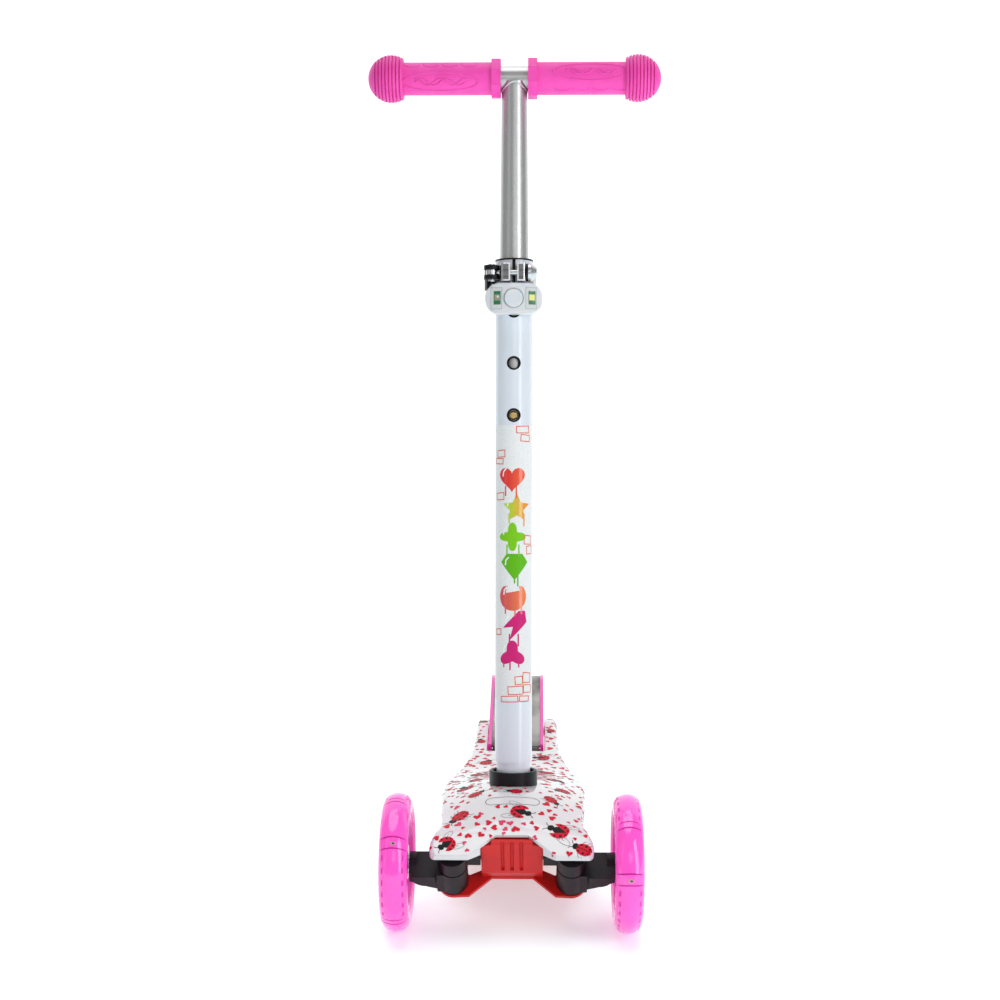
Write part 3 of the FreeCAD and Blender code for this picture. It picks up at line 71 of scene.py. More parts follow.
class Tree:
    """A material's node tree with short calls for the nodes that are used here."""

    def __init__(self, name):
        self.material = bpy.data.materials.new(name)
        self.material.use_nodes = True
        self.nodes = self.material.node_tree.nodes
        self.links = self.material.node_tree.links
        self.shader = self.nodes["Principled BSDF"]

    def node(self, kind, **settings):
        made = self.nodes.new(kind)
        for name, value in settings.items():
            setattr(made, name, value)
        return made

    def link(self, source, target):
        self.links.new(source, target)

    def set(self, **values):
        """Constant values on the shader's own sockets; spaces in socket names are underscores."""
        for name, value in values.items():
            self.shader.inputs[name.replace("_", " ")].default_value = value

    def colour(self, value, *stops):
        """Colour the shader by a ramp over a value."""
        self.link(self.ramp(value, *stops), self.shader.inputs["Base Color"])

    def roughness(self, value, low, high):
        """Let the shader's roughness follow a value between two limits."""
        self.link(self.span(value, low, high), self.shader.inputs["Roughness"])

    def coordinates(self):
        return self.node("ShaderNodeTexCoord").outputs["Object"]

    def noise(self, scale, detail=3.0, roughness=0.5, stretch=None):
        made = self.node("ShaderNodeTexNoise")
        made.inputs["Scale"].default_value = scale
        made.inputs["Detail"].default_value = detail
        made.inputs["Roughness"].default_value = roughness
        source = self.coordinates()
        if stretch:
            mapping = self.node("ShaderNodeMapping")
            mapping.inputs["Scale"].default_value = stretch
            self.link(source, mapping.inputs["Vector"])
            source = mapping.outputs["Vector"]
        self.link(source, made.inputs["Vector"])
        return made.outputs["Fac"]

    def ramp(self, value, *stops):
        made = self.node("ShaderNodeValToRGB")
        elements = made.color_ramp.elements
        while len(elements) < len(stops):
            elements.new(0.5)
        for element, (place, colour) in zip(elements, stops):
            element.position = place
            element.color = (*colour, 1)
        self.link(value, made.inputs["Fac"])
        return made.outputs["Color"]

    def span(self, value, low, high):
        """Map 0..1 to low..high."""
        made = self.node("ShaderNodeMapRange")
        made.inputs["To Min"].default_value = low
        made.inputs["To Max"].default_value = high
        self.link(value, made.inputs["Value"])
        return made.outputs["Result"]

    def bump(self, height, distance, strength=1.0, rounding=0.0):
        made = self.node("ShaderNodeBump")
        made.inputs["Distance"].default_value = distance
        made.inputs["Strength"].default_value = strength
        self.link(height, made.inputs["Height"])
        if rounding:
            self.link(self.rounded(rounding), made.inputs["Normal"])
        self.link(made.outputs["Normal"], self.shader.inputs["Normal"])

    def rounded(self, radius):
        made = self.node("ShaderNodeBevel", samples=6)
        made.inputs["Radius"].default_value = radius
        return made.outputs["Normal"]


def moulded(name, colour, roughness, grain=0.00004, rounding=0.0006, mottle=0.06, **extra):
    """Injection-moulded plastic: slight colour drift, fine surface grain, softened edges."""
    tree = Tree(name)
    tree.set(Roughness=roughness, **extra)
    drift = tree.noise(35, 2)
    dark = tuple(c * (1 - mottle) for c in colour)
    light = tuple(min(1, c * (1 + mottle)) for c in colour)
    tree.colour(drift, (0.35, dark), (0.65, light))
    tree.roughness(tree.noise(160, 4), roughness * 0.8, roughness * 1.25)
    tree.bump(tree.noise(1900, 2), grain, rounding=rounding)
    return tree.material


def metal(name, colour, roughness, scale=900, rounding=0.0004):
    """Bare or plated metal with a fine, slightly uneven finish."""
    tree = Tree(name)
    tree.set(Metallic=1.0, Roughness=roughness)
    grain = tree.noise(scale, 4, 0.6)
    dark = tuple(c * 0.86 for c in colour)
    tree.colour(grain, (0.3, dark), (0.7, colour))
    tree.roughness(grain, roughness * 0.75, roughness * 1.3)
    tree.bump(grain, 0.00001, rounding=rounding)
    return tree.material


def column_paint():
    """Bluish white powder coat, a little glossy."""
    tree = Tree("column_paint")
    tree.set(Roughness=0.28, Coat_Weight=0.5, Coat_Roughness=0.08)
    drift = tree.noise(12, 2)
    tree.colour(drift, (0.3, (0.66, 0.69, 0.76)), (0.7, (0.70, 0.73, 0.80)))
    tree.bump(tree.noise(420, 3), 0.00003)
    return tree.material


def silver_lacquer():
    """Silver paint with fine flakes."""
    tree = Tree("silver_lacquer")
    tree.set(Metallic=0.85, Coat_Weight=0.3, Coat_Roughness=0.15)
    flakes = tree.noise(2600, 2, 0.7)
    tree.colour(flakes, (0.3, (0.40, 0.40, 0.40)), (0.7, (0.62, 0.62, 0.62)))
    tree.roughness(tree.noise(90, 3), 0.30, 0.42)
    tree.bump(flakes, 0.00002, rounding=0.0004)
    return tree.material


def translucent(name, colour, transmission, roughness, scatter, glow=0.0):
    """Coloured polyurethane: some light goes through, some is scattered inside, and a painted glow, emission
    from plastic that is no lamp, adds a little.
    """
    tree = Tree(name)
    tree.set(
        Roughness=roughness,
        IOR=1.5,
        Transmission_Weight=transmission,
        Subsurface_Weight=scatter,
        Subsurface_Scale=0.006,
        Subsurface_Radius=(1.0, 0.35, 0.7),
        Coat_Weight=0.4,
        Coat_Roughness=0.05,
        # Painted glow: pink emission that stands in for light shining through the plastic.
        Emission_Color=(1.0, 0.10, 0.55, 1),
        Emission_Strength=glow,
    )
    drift = tree.noise(28, 3)
    dark = tuple(c * 0.9 for c in colour)
    tree.colour(drift, (0.35, dark), (0.65, colour))
    tree.bump(tree.noise(60, 2), 0.0002, 0.3)
    return tree.material


def grip_rubber():
    """Soft, slightly dusty rubber."""
    tree = Tree("grip_rubber")
    tree.set(
        Roughness=0.5,
        Specular_IOR_Level=0.3,
        Subsurface_Weight=0.15,
        Subsurface_Scale=0.002,
        Subsurface_Radius=(1.0, 0.3, 0.6),
        Sheen_Weight=0.05,
        Sheen_Roughness=0.5,
    )
    drift = tree.noise(45, 3)
    tree.colour(drift, (0.3, (0.84, 0.060, 0.41)), (0.7, (0.92, 0.085, 0.48)))
    tree.roughness(tree.noise(210, 4), 0.42, 0.6)
    tree.bump(tree.noise(1500, 3), 0.00005, rounding=0.0005)
    return tree.material


def brushed_plate():
    """Stainless sheet brushed along its length, with soft dark stripes of painted reflection, like a
    reflected room.
    """
    tree = Tree("brushed_plate")
    tree.set(Metallic=1.0, Anisotropic=0.6)
    lines = tree.noise(700, 3, 0.6, (6, 0.12, 0.12))
    # Painted reflection: the base colour swings between dark and light stripes, as if a room were reflected
    # in the steel.
    painted_reflection = tree.noise(26, 3, 0.55, (1, 0.5, 0.5))
    tree.colour(painted_reflection, (0.38, (0.07, 0.065, 0.06)), (0.62, (0.40, 0.38, 0.37)))
    tree.roughness(lines, 0.22, 0.42)
    tree.bump(lines, 0.00003, rounding=0.0003)
    return tree.material


def silicone():
    """Milky silicone that lets a little light in."""
    tree = Tree("lamp_silicone")
    tree.set(
        Roughness=0.35,
        Transmission_Weight=0.08,
        IOR=1.41,
        Subsurface_Weight=0.4,
        Subsurface_Scale=0.004,
    )
    drift = tree.noise(40, 3)
    tree.colour(drift, (0.3, (0.70, 0.71, 0.76)), (0.7, (0.78, 0.77, 0.80)))
    tree.bump(tree.noise(600, 2), 0.00003, rounding=0.0015)
    return tree.material


def knurl():
    """Dark cast pad with fine pyramids."""
    tree = Tree("knurled_casting")
    tree.set(Metallic=0.7, Roughness=0.45)
    cells = tree.node("ShaderNodeTexVoronoi", distance="CHEBYCHEV")
    cells.inputs["Scale"].default_value = 900
    cells.inputs["Randomness"].default_value = 0.15
    tree.link(tree.coordinates(), cells.inputs["Vector"])
    tree.colour(cells.outputs["Distance"], (0.1, (0.30, 0.30, 0.31)), (0.6, (0.07, 0.07, 0.075)))
    tree.bump(cells.outputs["Distance"], 0.0003)
    return tree.material


def circuit_board():
    """Green board with pale solder spots."""
    tree = Tree("circuit_board")
    tree.set(Roughness=0.35)
    cells = tree.node("ShaderNodeTexVoronoi")
    cells.inputs["Scale"].default_value = 420
    tree.link(tree.coordinates(), cells.inputs["Vector"])
    tree.colour(cells.outputs["Distance"], (0.12, (0.55, 0.60, 0.50)), (0.2, (0.02, 0.16, 0.07)))
    return tree.material


def ink(name, colour):
    """A matt print colour with a fine grain."""
    tree = Tree("ink_" + name)
    tree.set(Roughness=0.4, Specular_IOR_Level=0.12)
    grain = tree.noise(900, 2)
    dark = tuple(c * 0.88 for c in colour)
    tree.colour(grain, (0.3, dark), (0.7, colour))
    return tree.material


def fading_ink(name, left, right, start, end):
    """Ink that shades from one colour to another across the model, between two values of X."""
    tree = Tree("ink_" + name)
    tree.set(Roughness=0.3, Coat_Weight=0.6, Coat_Roughness=0.08)
    split = tree.node("ShaderNodeSeparateXYZ")
    tree.link(tree.coordinates(), split.inputs["Vector"])
    place = tree.node("ShaderNodeMapRange")
    place.inputs["From Min"].default_value = start
    place.inputs["From Max"].default_value = end
    tree.link(split.outputs["X"], place.inputs["Value"])
    tree.colour(place.outputs["Result"], (0.0, left), (1.0, right))
    return tree.material


def paint(material, *names):
    """Give CAD nodes one material."""
    for name in names:
        materials = NODES[name].data.materials
        materials.clear()
        materials.append(material)


GLOSS_WHITE = moulded(
    "gloss_white", (0.66, 0.65, 0.67), 0.14, 0.00001, 0.0008, 0.02, Coat_Weight=0.6, Coat_Roughness=0.04
)
BLACK = moulded("black_nylon", (0.006, 0.005, 0.007), 0.38, Specular_IOR_Level=0.22)
RED = moulded("red_plastic", (0.60, 0.012, 0.011), 0.38, Specular_IOR_Level=0.25)
PINK_GLOSS = moulded(
    "pink_gloss", (0.81, 0.033, 0.40), 0.20, 0.00001, 0.0008, 0.03, Coat_Weight=0.5, Coat_Roughness=0.06
)
ZINC = metal("zinc_plate", (0.66, 0.67, 0.70), 0.26)
SPRING = metal("spring_steel", (0.42, 0.42, 0.44), 0.32)
CLAMP = metal("clamp_casting", (0.66, 0.66, 0.68), 0.24, scale=300)
BRASS = metal("brass", (0.72, 0.50, 0.20), 0.22, rounding=0.0006)
CELL = metal("cell_steel", (0.72, 0.72, 0.74), 0.15)
# The last number for the tyre and the core is a painted glow, emission from plastic that is no lamp.
TYRE = translucent("tyre_polyurethane", (1.0, 0.11, 0.66), 0.25, 0.12, 0.3, 0.16)
CORE = translucent("wheel_core", (0.98, 0.17, 0.70), 0.15, 0.2, 0.2, 0.10)
LED = translucent("led_resin", (0.95, 0.93, 0.85), 0.6, 0.1, 0.1)
BUSH = moulded("acetal", (0.012, 0.012, 0.014), 0.45, Specular_IOR_Level=0.3)
LAMP_WHITE = silicone()
PAINTED = column_paint()
KNURL = knurl()
BOARD = circuit_board()
GRIP = grip_rubber()

paint(GLOSS_WHITE, "deck_cover")
paint(BLACK, "tube_liner", "clamp_washers", "deck_collar", "knuckle_left", "knuckle_right", "truck_beam")
paint(BLACK, "clamp_lever", "foot_button")
paint(RED, "deck_frame", "truck_housing")
paint(PINK_GLOSS, "fender_frame")
paint(ZINC, "clamp_bolt", "clamp_cam_pin", "clamp_nut", "kingpin_bolts", "tie_rod", "deck_screws")
paint(ZINC, "rear_axle", "rear_axle_nuts", "rear_spacers", "fender_pin", "axle_bolt_left", "axle_bolt_right")
paint(ZINC, "column_socket", "front_bearings_left", "front_bearings_right")
paint(ZINC, "rear_bearings_left", "rear_bearings_right")
paint(SPRING, "snap_spring", "foot_spring", "steering_springs", "fender_spring")
paint(CLAMP, "clamp_collar")
paint(BRASS, "snap_button")
paint(CELL, "lamp_cells")
paint(TYRE, "front_tyre_left", "front_tyre_right", "rear_tyre_left", "rear_tyre_right")
paint(CORE, "front_core_left", "front_core_right", "rear_core_left", "rear_core_right")
paint(LED, "lamp_leds", "front_leds_left", "front_leds_right")
paint(BUSH, "kingpin_bushes")
paint(GRIP, "grip_left", "grip_right")
paint(PAINTED, "column_tube", "column_foot")
paint(silver_lacquer(), "crossbar", "upper_tube", "weld_bead")
paint(brushed_plate(), "fender_plate")
paint(LAMP_WHITE, "lamp_body", "lamp_button")
paint(BOARD, "lamp_pcb")


# ---------------------------------------------------------------- mesh helpers


def smooth_by_angle(thing, degrees=32):
    """Shade smooth, but keep the edges that fold by more than an angle sharp."""
    mesh = thing.data
    mesh.shade_smooth()
    limit = math.radians(degrees)
    shape = bmesh.new()
    shape.from_mesh(mesh)
    for edge in shape.edges:
        edge.smooth = len(edge.link_faces) != 2 or edge.calc_face_angle(0.0) < limit
    shape.to_mesh(mesh)
    shape.free()


def piece(name, shape, materials, body, smooth=32):
    """Turn a bmesh into an object that rides on a CAD body."""
    mesh = bpy.data.meshes.new(name)
    shape.to_mesh(mesh)
    shape.free()
    made = bpy.data.objects.new(name, mesh)
    bpy.context.scene.collection.objects.link(made)
    for material in materials:
        mesh.materials.append(material)
    smooth_by_angle(made, smooth)
    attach(made, body)


def surface_of(thing):
    """A mesh as a tree that rays can be cast at."""
    mesh = thing.data
    return BVHTree.FromPolygons([v.co.copy() for v in mesh.vertices], [p.vertices[:] for p in mesh.polygons])


# ---------------------------------------------------------------- printed graphics

# Prints are thin sheets laid just above the surface that they belong to. Outlines are in millimetres.
INK_LIFT = 0.08 * MM


def turns_between(first, last, steps):
    """Evenly spaced numbers from first to last, with both ends."""
    return [first + (last - first) * step / steps for step in range(steps + 1)]


def heart(width):
    points = []
    for step in range(28):
        angle = math.tau * step / 28
        across = 16 * math.sin(angle) ** 3
        up = 13 * math.cos(angle) - 5 * math.cos(2 * angle) - 2 * math.cos(3 * angle) - math.cos(4 * angle)
        points.append((across * width / 32, up * width / 32))
    return points


def oval(width, height, x=0.0, y=0.0, steps=20):
    turns = turns_between(0, math.tau, steps)[:-1]
    return [(x + width / 2 * math.cos(turn), y + height / 2 * math.sin(turn)) for turn in turns]


def half_oval(width, height, side):
    """The half of an oval on one side of its upright chord."""
    turns = turns_between(-math.pi / 2, -math.pi / 2 + side * math.pi, 14)
    return [(width / 2 * math.cos(turn), height / 2 * math.sin(turn)) for turn in turns]


def star(width):
    """Five points, upright."""
    corners = []
    for step in range(10):
        radius = width / 2 * (1 if step % 2 == 0 else 0.48)
        angle = math.pi / 2 + math.pi * step / 5
        corners.append((radius * math.cos(angle), radius * math.sin(angle)))
    return corners


def petals(width, count):
    """A rounded cross or clover outline."""
    points = []
    for angle in turns_between(0, math.tau, 60)[:-1]:
        radius = width / 2 * (0.74 + 0.26 * math.cos(count * (angle - math.pi / 2)))
        points.append((radius * math.cos(angle), radius * math.sin(angle)))
    return points


def scaled(corners, width, height):
    return [(x * width, y * height) for x, y in corners]


def gem(width, height):
    return scaled(((-0.5, 0.18), (-0.28, 0.5), (0.28, 0.5), (0.5, 0.18), (0, -0.5)), width, height)


def bolt(width, height):
    left = ((0.15, 0.5), (-0.5, -0.08), (-0.08, -0.04), (-0.22, -0.5))
    right = ((0.5, 0.12), (0.06, 0.1), (0.42, 0.5))
    return scaled(left + right, width, height)


def crescent(width, height):
    """A moon that lies on its back, open at the top."""
    opening = 2.35
    outer = [(math.sin(t) / 2, -math.cos(t) / 2) for t in turns_between(-opening, opening, 22)]
    inner = [(0.26 * math.sin(t), 0.12 - 0.36 * math.cos(t)) for t in turns_between(opening, -opening, 18)]
    return scaled(outer + inner, width, height)


def drip(x, top, length):
    """A run of paint: a thin bar with a round end."""
    half, low = 0.65, top - length
    end = [(x + half * math.cos(t), low + half * math.sin(t)) for t in turns_between(math.pi, math.tau, 6)]
    return [(x + half, top), (x - half, top)] + end


def stroke(points, width):
    """A ribbon of even width along a polyline, one quad for each run."""
    quads = []
    for (x1, y1), (x2, y2) in zip(points, points[1:]):
        length = math.hypot(x2 - x1, y2 - y1) or 1.0
        across = (-(y2 - y1) / length * width / 2, (x2 - x1) / length * width / 2)
        extra = ((x2 - x1) / length * width * 0.35, (y2 - y1) / length * width * 0.35)
        quads.append([
            (x1 + across[0] - extra[0], y1 + across[1] - extra[1]),
            (x1 - across[0] - extra[0], y1 - across[1] - extra[1]),
            (x2 - across[0] + extra[0], y2 - across[1] + extra[1]),
            (x2 + across[0] + extra[0], y2 + across[1] + extra[1]),
        ])
    return quads


def pill(width, height):
    """A long rounded outline, closed."""
    radius = height / 2
    straight = width / 2 - radius
    right = [(straight + radius * math.sin(t), -radius * math.cos(t)) for t in turns_between(0, math.pi, 10)]
    left = [(-x, -y) for x, y in right]
    return right + left + right[:1]


def rectangle(x, y, width, height):
    """Corners of an upright rectangle round its centre."""
    return moved(scaled(((-0.5, -0.5), (0.5, -0.5), (0.5, 0.5), (-0.5, 0.5)), width, height), x, y)


def moved(points, x, y, turn=0.0, scale=1.0):
    """Scale and turn an outline about its origin, then move it."""
    cosine, sine = math.cos(turn) * scale, math.sin(turn) * scale
    return [(x + px * cosine - py * sine, y + px * sine + py * cosine) for px, py in points]


def fill(outline, finest):
    """Triangulate an outline and split edges longer than finest, so that it can follow a curved surface."""
    shape = bmesh.new()
    corners = [shape.verts.new((x, y, 0)) for x, y in outline]
    shape.faces.new(corners)
    bmesh.ops.triangulate(shape, faces=shape.faces[:])
    for _ in range(4):
        long_edges = [edge for edge in shape.edges if edge.calc_length() > finest]
        if not long_edges:
            break
        bmesh.ops.subdivide_edges(shape, edges=long_edges, cuts=1)
        bmesh.ops.triangulate(shape, faces=[face for face in shape.faces if len(face.verts) > 3])
    return shape


def just_above(spot, normal, layer):
    """A point over a surface, higher for each layer of ink."""
    return spot + normal * INK_LIFT * (1 + layer)


class Print:
    """A set of printed patches on one surface, each with its ink and its layer."""

    def __init__(self, place, finest):
        self.place = place
        self.finest = finest
        self.shape = bmesh.new()
        self.inks = []

    def add(self, outline, ink_material, layer):
        """Lay one outline. Where the surface doesn't carry all of it, leave it out and return False."""
        patch = fill(outline, self.finest)
        spots = {vert.index: self.place(vert.co.x, vert.co.y, layer) for vert in patch.verts}
        if any(spot is None for spot in spots.values()):
            patch.free()
            return False
        if ink_material not in self.inks:
            self.inks.append(ink_material)
        patch.verts.index_update()
        corners = [self.shape.verts.new(spots[vert.index]) for vert in patch.verts]
        for face in patch.faces:
            made = self.shape.faces.new([corners[vert.index] for vert in face.verts])
            made.material_index = self.inks.index(ink_material)
        patch.free()
        return True

    def finish(self, name, body):
        piece(name, self.shape, self.inks, body, smooth=60)


def on_tube(across, along, layer):
    """A point on the column's front: across round the tube and along its axis, in millimetres."""
    radius = TUBE_RADIUS + INK_LIFT * (1 + layer)
    angle = across * MM / TUBE_RADIUS
    return COLUMN @ Vector((radius * math.sin(angle), -radius * math.cos(angle), along * MM))


def sketchy_box(across, along, width, height, shift=0.0):
    """A hand-drawn brick: its outline is a little out of square."""
    left, right = across - width / 2, across + width / 2
    low, high = along - height / 2, along + height / 2
    start = (left, high - shift)
    return [start, (right, high + shift), (right + shift, low), (left + shift, low - shift), start]


def column_print():
    """A string of simple shapes with paint runs and highlights, and a few brick outlines."""
    paper = ink("paper", (0.80, 0.80, 0.81))
    white = ink("highlight", (0.92, 0.92, 0.92))
    line = ink("brick_line", (0.78, 0.09, 0.03))
    red = fading_ink("red", (0.68, 0.012, 0.02), (0.82, 0.10, 0.02), -0.010, 0.012)
    lime = fading_ink("lime", (0.38, 0.62, 0.02), (0.85, 0.22, 0.03), -0.006, 0.013)
    green = ink("green", (0.20, 0.56, 0.015))
    leaf = ink("leaf", (0.12, 0.46, 0.012))
    coral = fading_ink("coral", (0.62, 0.06, 0.07), (0.80, 0.20, 0.05), -0.010, 0.012)
    magenta = ink("magenta", (0.62, 0.02, 0.18))
    sheet = Print(on_tube, 2.0)
    shapes = (
        (268.5, -1.5, heart(25), red, (-6, 4)),
        (241.0, 3.0, star(27), lime, (-7, 7)),
        (215.0, -1.0, petals(26, 4), green, (-5, 6)),
        (187.5, 1.0, gem(26, 24), leaf, (0, 3)),
        (160.5, -0.5, crescent(26, 26), coral, (-7, 2, 8)),
        (134.0, 1.5, bolt(23, 27), magenta, (-5, 3)),
        (107.5, -1.0, petals(26, 3), magenta, (-8, -2, 6)),
    )
    for along, across, outline, colour, runs in shapes:
        sheet.add(moved(outline, across, along), colour, 1)
        bottom = along + min(y for _, y in outline)
        for number, run in enumerate(runs):
            sheet.add(drip(across + run, bottom + 6, 8.5 + 2.5 * (number % 2)), colour, 1)
        glint = [(across - 8.5, along + 2), (across - 8.0, along + 6), (across - 5.5, along + 8.6)]
        for quad in stroke(glint, 1.1):
            sheet.add(quad, white, 2)
    bricks = (
        (9, 313, 13, 6, 0.3), (12, 305, 10, 6, -0.4), (-13, 291, 9, 6, 0.3), (-15, 284, 10, 5, -0.3),
        (-14, 252, 9, 6, 0.4), (15, 212, 9, 8, -0.4), (17, 203, 8, 7, 0.3), (-16, 128, 7, 5, 0.3),
        (5, 84, 7, 7, 0.3), (14, 86, 9, 9, -0.6), (2, 75, 14, 7, 0.4), (15, 76, 10, 7, -0.4),
        (-4, 67, 16, 5, 0.4), (11, 67, 10, 5, -0.3),
    )
    for across, along, width, height, shift in bricks:
        for quad in stroke(sketchy_box(across, along, width, height, shift), 0.75):
            sheet.add(quad, line, 1)
    sheet.add(rectangle(0, 191.5, 44, 251), paper, 0)
    sheet.finish("column_print", "column")


class Ground:
    """The deck's top surface, to lay prints on."""

    def __init__(self, thing):
        self.tree = surface_of(thing)

    def spot(self, x, y):
        """Where the surface lies under a point of the plan, and its normal; None where there is no top."""
        hit, normal, _, _ = self.tree.ray_cast(Vector((x, y, 0.3)), Vector((0, 0, -1)))
        return (hit, normal) if hit is not None and normal.z > 0.05 else None

    def drop(self, across, along, layer):
        """The point of the surface under a point of the plan, in millimetres."""
        found = self.spot(across * MM, along * MM)
        return just_above(*found, layer) if found else None

    def side_placer(self, side, y, z):
        """A function that lays millimetre points on a side wall round one spot, or None off the wall."""
        inward = Vector((-side, 0, 0))
        hit, normal, _, _ = self.tree.ray_cast(Vector((side * 0.12, y, z)), inward)
        if hit is None or normal.x * side < 0.3 or abs(normal.z) > 0.9:
            return None

        def place(across, along, layer):
            start = Vector((side * 0.12, y + side * across * MM, z + along * MM))
            spot, facing, _, _ = self.tree.ray_cast(start, inward)
            if spot is None or facing.x * side < 0.2 or (spot - hit).length > 0.008:
                return None
            return just_above(spot, facing, layer)

        return place

    def placer(self, x, y):
        """A function that lays millimetre points on the top round one spot, or None off the top."""
        found = self.spot(x * MM, y * MM)
        if found is None:
            return None
        origin, normal = found
        right = Vector((0, 1, 0)).cross(normal).normalized()
        up = normal.cross(right)

        def place(across, along, layer):
            start = origin + right * across * MM + up * along * MM + normal * 0.012
            hit, facing, _, distance = self.tree.ray_cast(start, -normal)
            if hit is None or distance > 0.03 or facing.dot(normal) < 0.3:
                return None
            return just_above(hit, facing, layer)

        return place


def scrambled(number):
    """A repeatable stand-in for a random number, from 0 to 1."""
    value = math.sin(number) * 43758.5453
    return value - math.floor(value)


def side_streaks(sheet, ground, red, grey):
    """The print stretches into short dashes down the deck's steep sides."""
    count = 420
    for side in (-1, 1):
        for number in range(count):
            wobble = scrambled(number * 78.233 + side)
            y = (-238 + 430 * number / count) * MM
            z = 0.052 + 0.045 * (wobble * 13 % 1)
            sheet.place = ground.side_placer(side, y, z)
            if sheet.place:
                length = 2.0 + 4.5 * (wobble * 57 % 1)
                tilt = (wobble * 91 % 1 - 0.5) * 0.9
                dash = moved([(-length / 2, 0), (0, -0.5), (length / 2, 0), (0, 0.5)], 0, 0, tilt)
                sheet.add(dash, red if number % 5 else grey, 1)


def beetle(sheet, turn, size, inks, open_wings):
    """A plain beetle: spotted wing cases, dark head, thin legs and feelers."""
    red, black, grey = inks

    def lay(outline, colour, layer):
        return sheet.add(moved(outline, 0, 0, turn, size), colour, layer)

    if not lay(oval(7.5, 10.5), black, 1):
        return
    spread = 0.45 if open_wings else 0.0
    for side in (-1, 1):
        hinge = side * (0.3 + spread * 4)
        lay(moved(half_oval(9.4, 12, side), hinge, 0, -side * spread), red, 2)
        for spot_x, spot_y, wide in ((2.4, 3.2, 1.7), (2.8, -0.6, 2.0), (1.8, -3.8, 1.5)):
            dot = oval(wide, wide, side * spot_x, spot_y, 12)
            lay(moved(dot, hinge, 0, -side * spread), black, 3)
    lay(oval(5.4, 4.4, 0, 6.6), black, 2)
    for side in (-1, 1):
        for quad in stroke([(side * 1.2, 8.4), (side * 2.2, 10.2), (side * 3.6, 10.9)], 0.45):
            lay(quad, black, 1)
        for leg in (3.0, 0.0, -3.0):
            for quad in stroke([(side * 4.2, leg), (side * 6.2, leg - 0.8), (side * 6.9, leg - 2.2)], 0.4):
                lay(quad, grey, 1)
    if open_wings:
        for side in (-1, 1):
            loop = moved(oval(4.5, 11, side * 5.2, -6.5, 24), 0, 0, side * 0.3)
            for quad in stroke(loop + loop[:1], 0.3):
                lay(quad, grey, 1)


def deck_print():
    """Hearts and beetles scattered over the deck's whole top."""
    ground = Ground(NODES["deck_cover"])
    rose = ink("rose", (0.66, 0.004, 0.030))
    pale = ink("pale_rose", (0.72, 0.05, 0.14))
    black = ink("black", (0.004, 0.004, 0.005))
    grey = ink("grey", (0.16, 0.15, 0.17))
    sheet = Print(None, 2.2)
    beetles = (
        (-46, -204, 2.4, 1.45, False), (6, -206, -1.9, 1.3, True), (42, -228, 1.2, 1.35, True),
        (62, -246, 1.1, 1.2, False), (-55, -241, 2.2, 1.1, True), (34, -179, -2.3, 1.1, False),
        (3, -172, 1.4, 1.0, False),
        (-34, -168, -0.9, 1.15, False), (-44, -134, 0.5, 1.2, True), (46, -140, 2.2, 1.2, False),
        (-36, -100, 0.4, 1.3, False), (38, -92, -2.1, 1.3, True), (4, -84, 1.2, 1.3, False),
        (-36, -50, -1.3, 1.25, True), (32, -34, 0.7, 1.3, False), (-2, -18, 2.6, 1.2, False),
        (-30, 12, -0.4, 1.2, False), (28, 30, 1.5, 1.2, True), (-37, 84, 0.2, 0.9, False),
        (37, 120, 2.9, 0.9, False), (-37, 156, 1.2, 0.9, False), (37, 178, -0.6, 0.9, False),
    )
    for x, y, turn, size, open_wings in beetles:
        sheet.place = ground.placer(x, y)
        if sheet.place:
            beetle(sheet, turn, size, (rose, black, grey), open_wings)
    badge_y = -190
    golden = math.pi * (3 - math.sqrt(5))
    rows, columns = 62, 17
    for number in range(rows * columns):
        row, column = divmod(number, columns)
        wobble = scrambled(number * 12.9898)
        x = (column - 8) * 9.4 + (row % 2) * 4.7 + (wobble - 0.5) * 5
        y = -248 + 440 * row / rows + (wobble * 7.3 % 1 - 0.5) * 5
        near = any(math.hypot(x - bx, y - by) < 10 * size for bx, by, _, size, _ in beetles)
        if near or wobble * 31 % 1 < 0.38 or (abs(x) < 26 and abs(y - badge_y) < 8):
            continue
        sheet.place = ground.placer(x, y)
        if sheet.place:
            width = 3.8 + 4.4 * (wobble * 57 % 1) ** 2
            colour = rose if wobble * 91 % 1 > 0.25 else pale
            sheet.add(moved(heart(width), 0, 0, number * golden), colour, 1)
    sheet.place = ground.placer(0, badge_y)
    for quad in stroke(pill(48, 12), 0.6):
        sheet.add(quad, grey, 1)
    side_streaks(sheet, ground, rose, grey)
    sheet.place = ground.drop
    # Painted highlight: two strips along the nose notch's diagonals, lighter than the deck's own white,
    # stand for chamfer facets that catch the light; the deck's shape has no such chamfer.
    nose_highlight = ink("nose_painted_highlight", (0.95, 0.95, 0.96))
    highlight_outline = [(14.4, -234.2), (39.4, -251.6), (41.8, -248.2), (17.2, -214.5)]
    for side in (-1, 1):
        sheet.add([(side * x, y) for x, y in highlight_outline][::side], nose_highlight, 3)
    sheet.finish("deck_print", "deck")


column_print()
deck_print()


# ---------------------------------------------------------------- raised and fitted detail


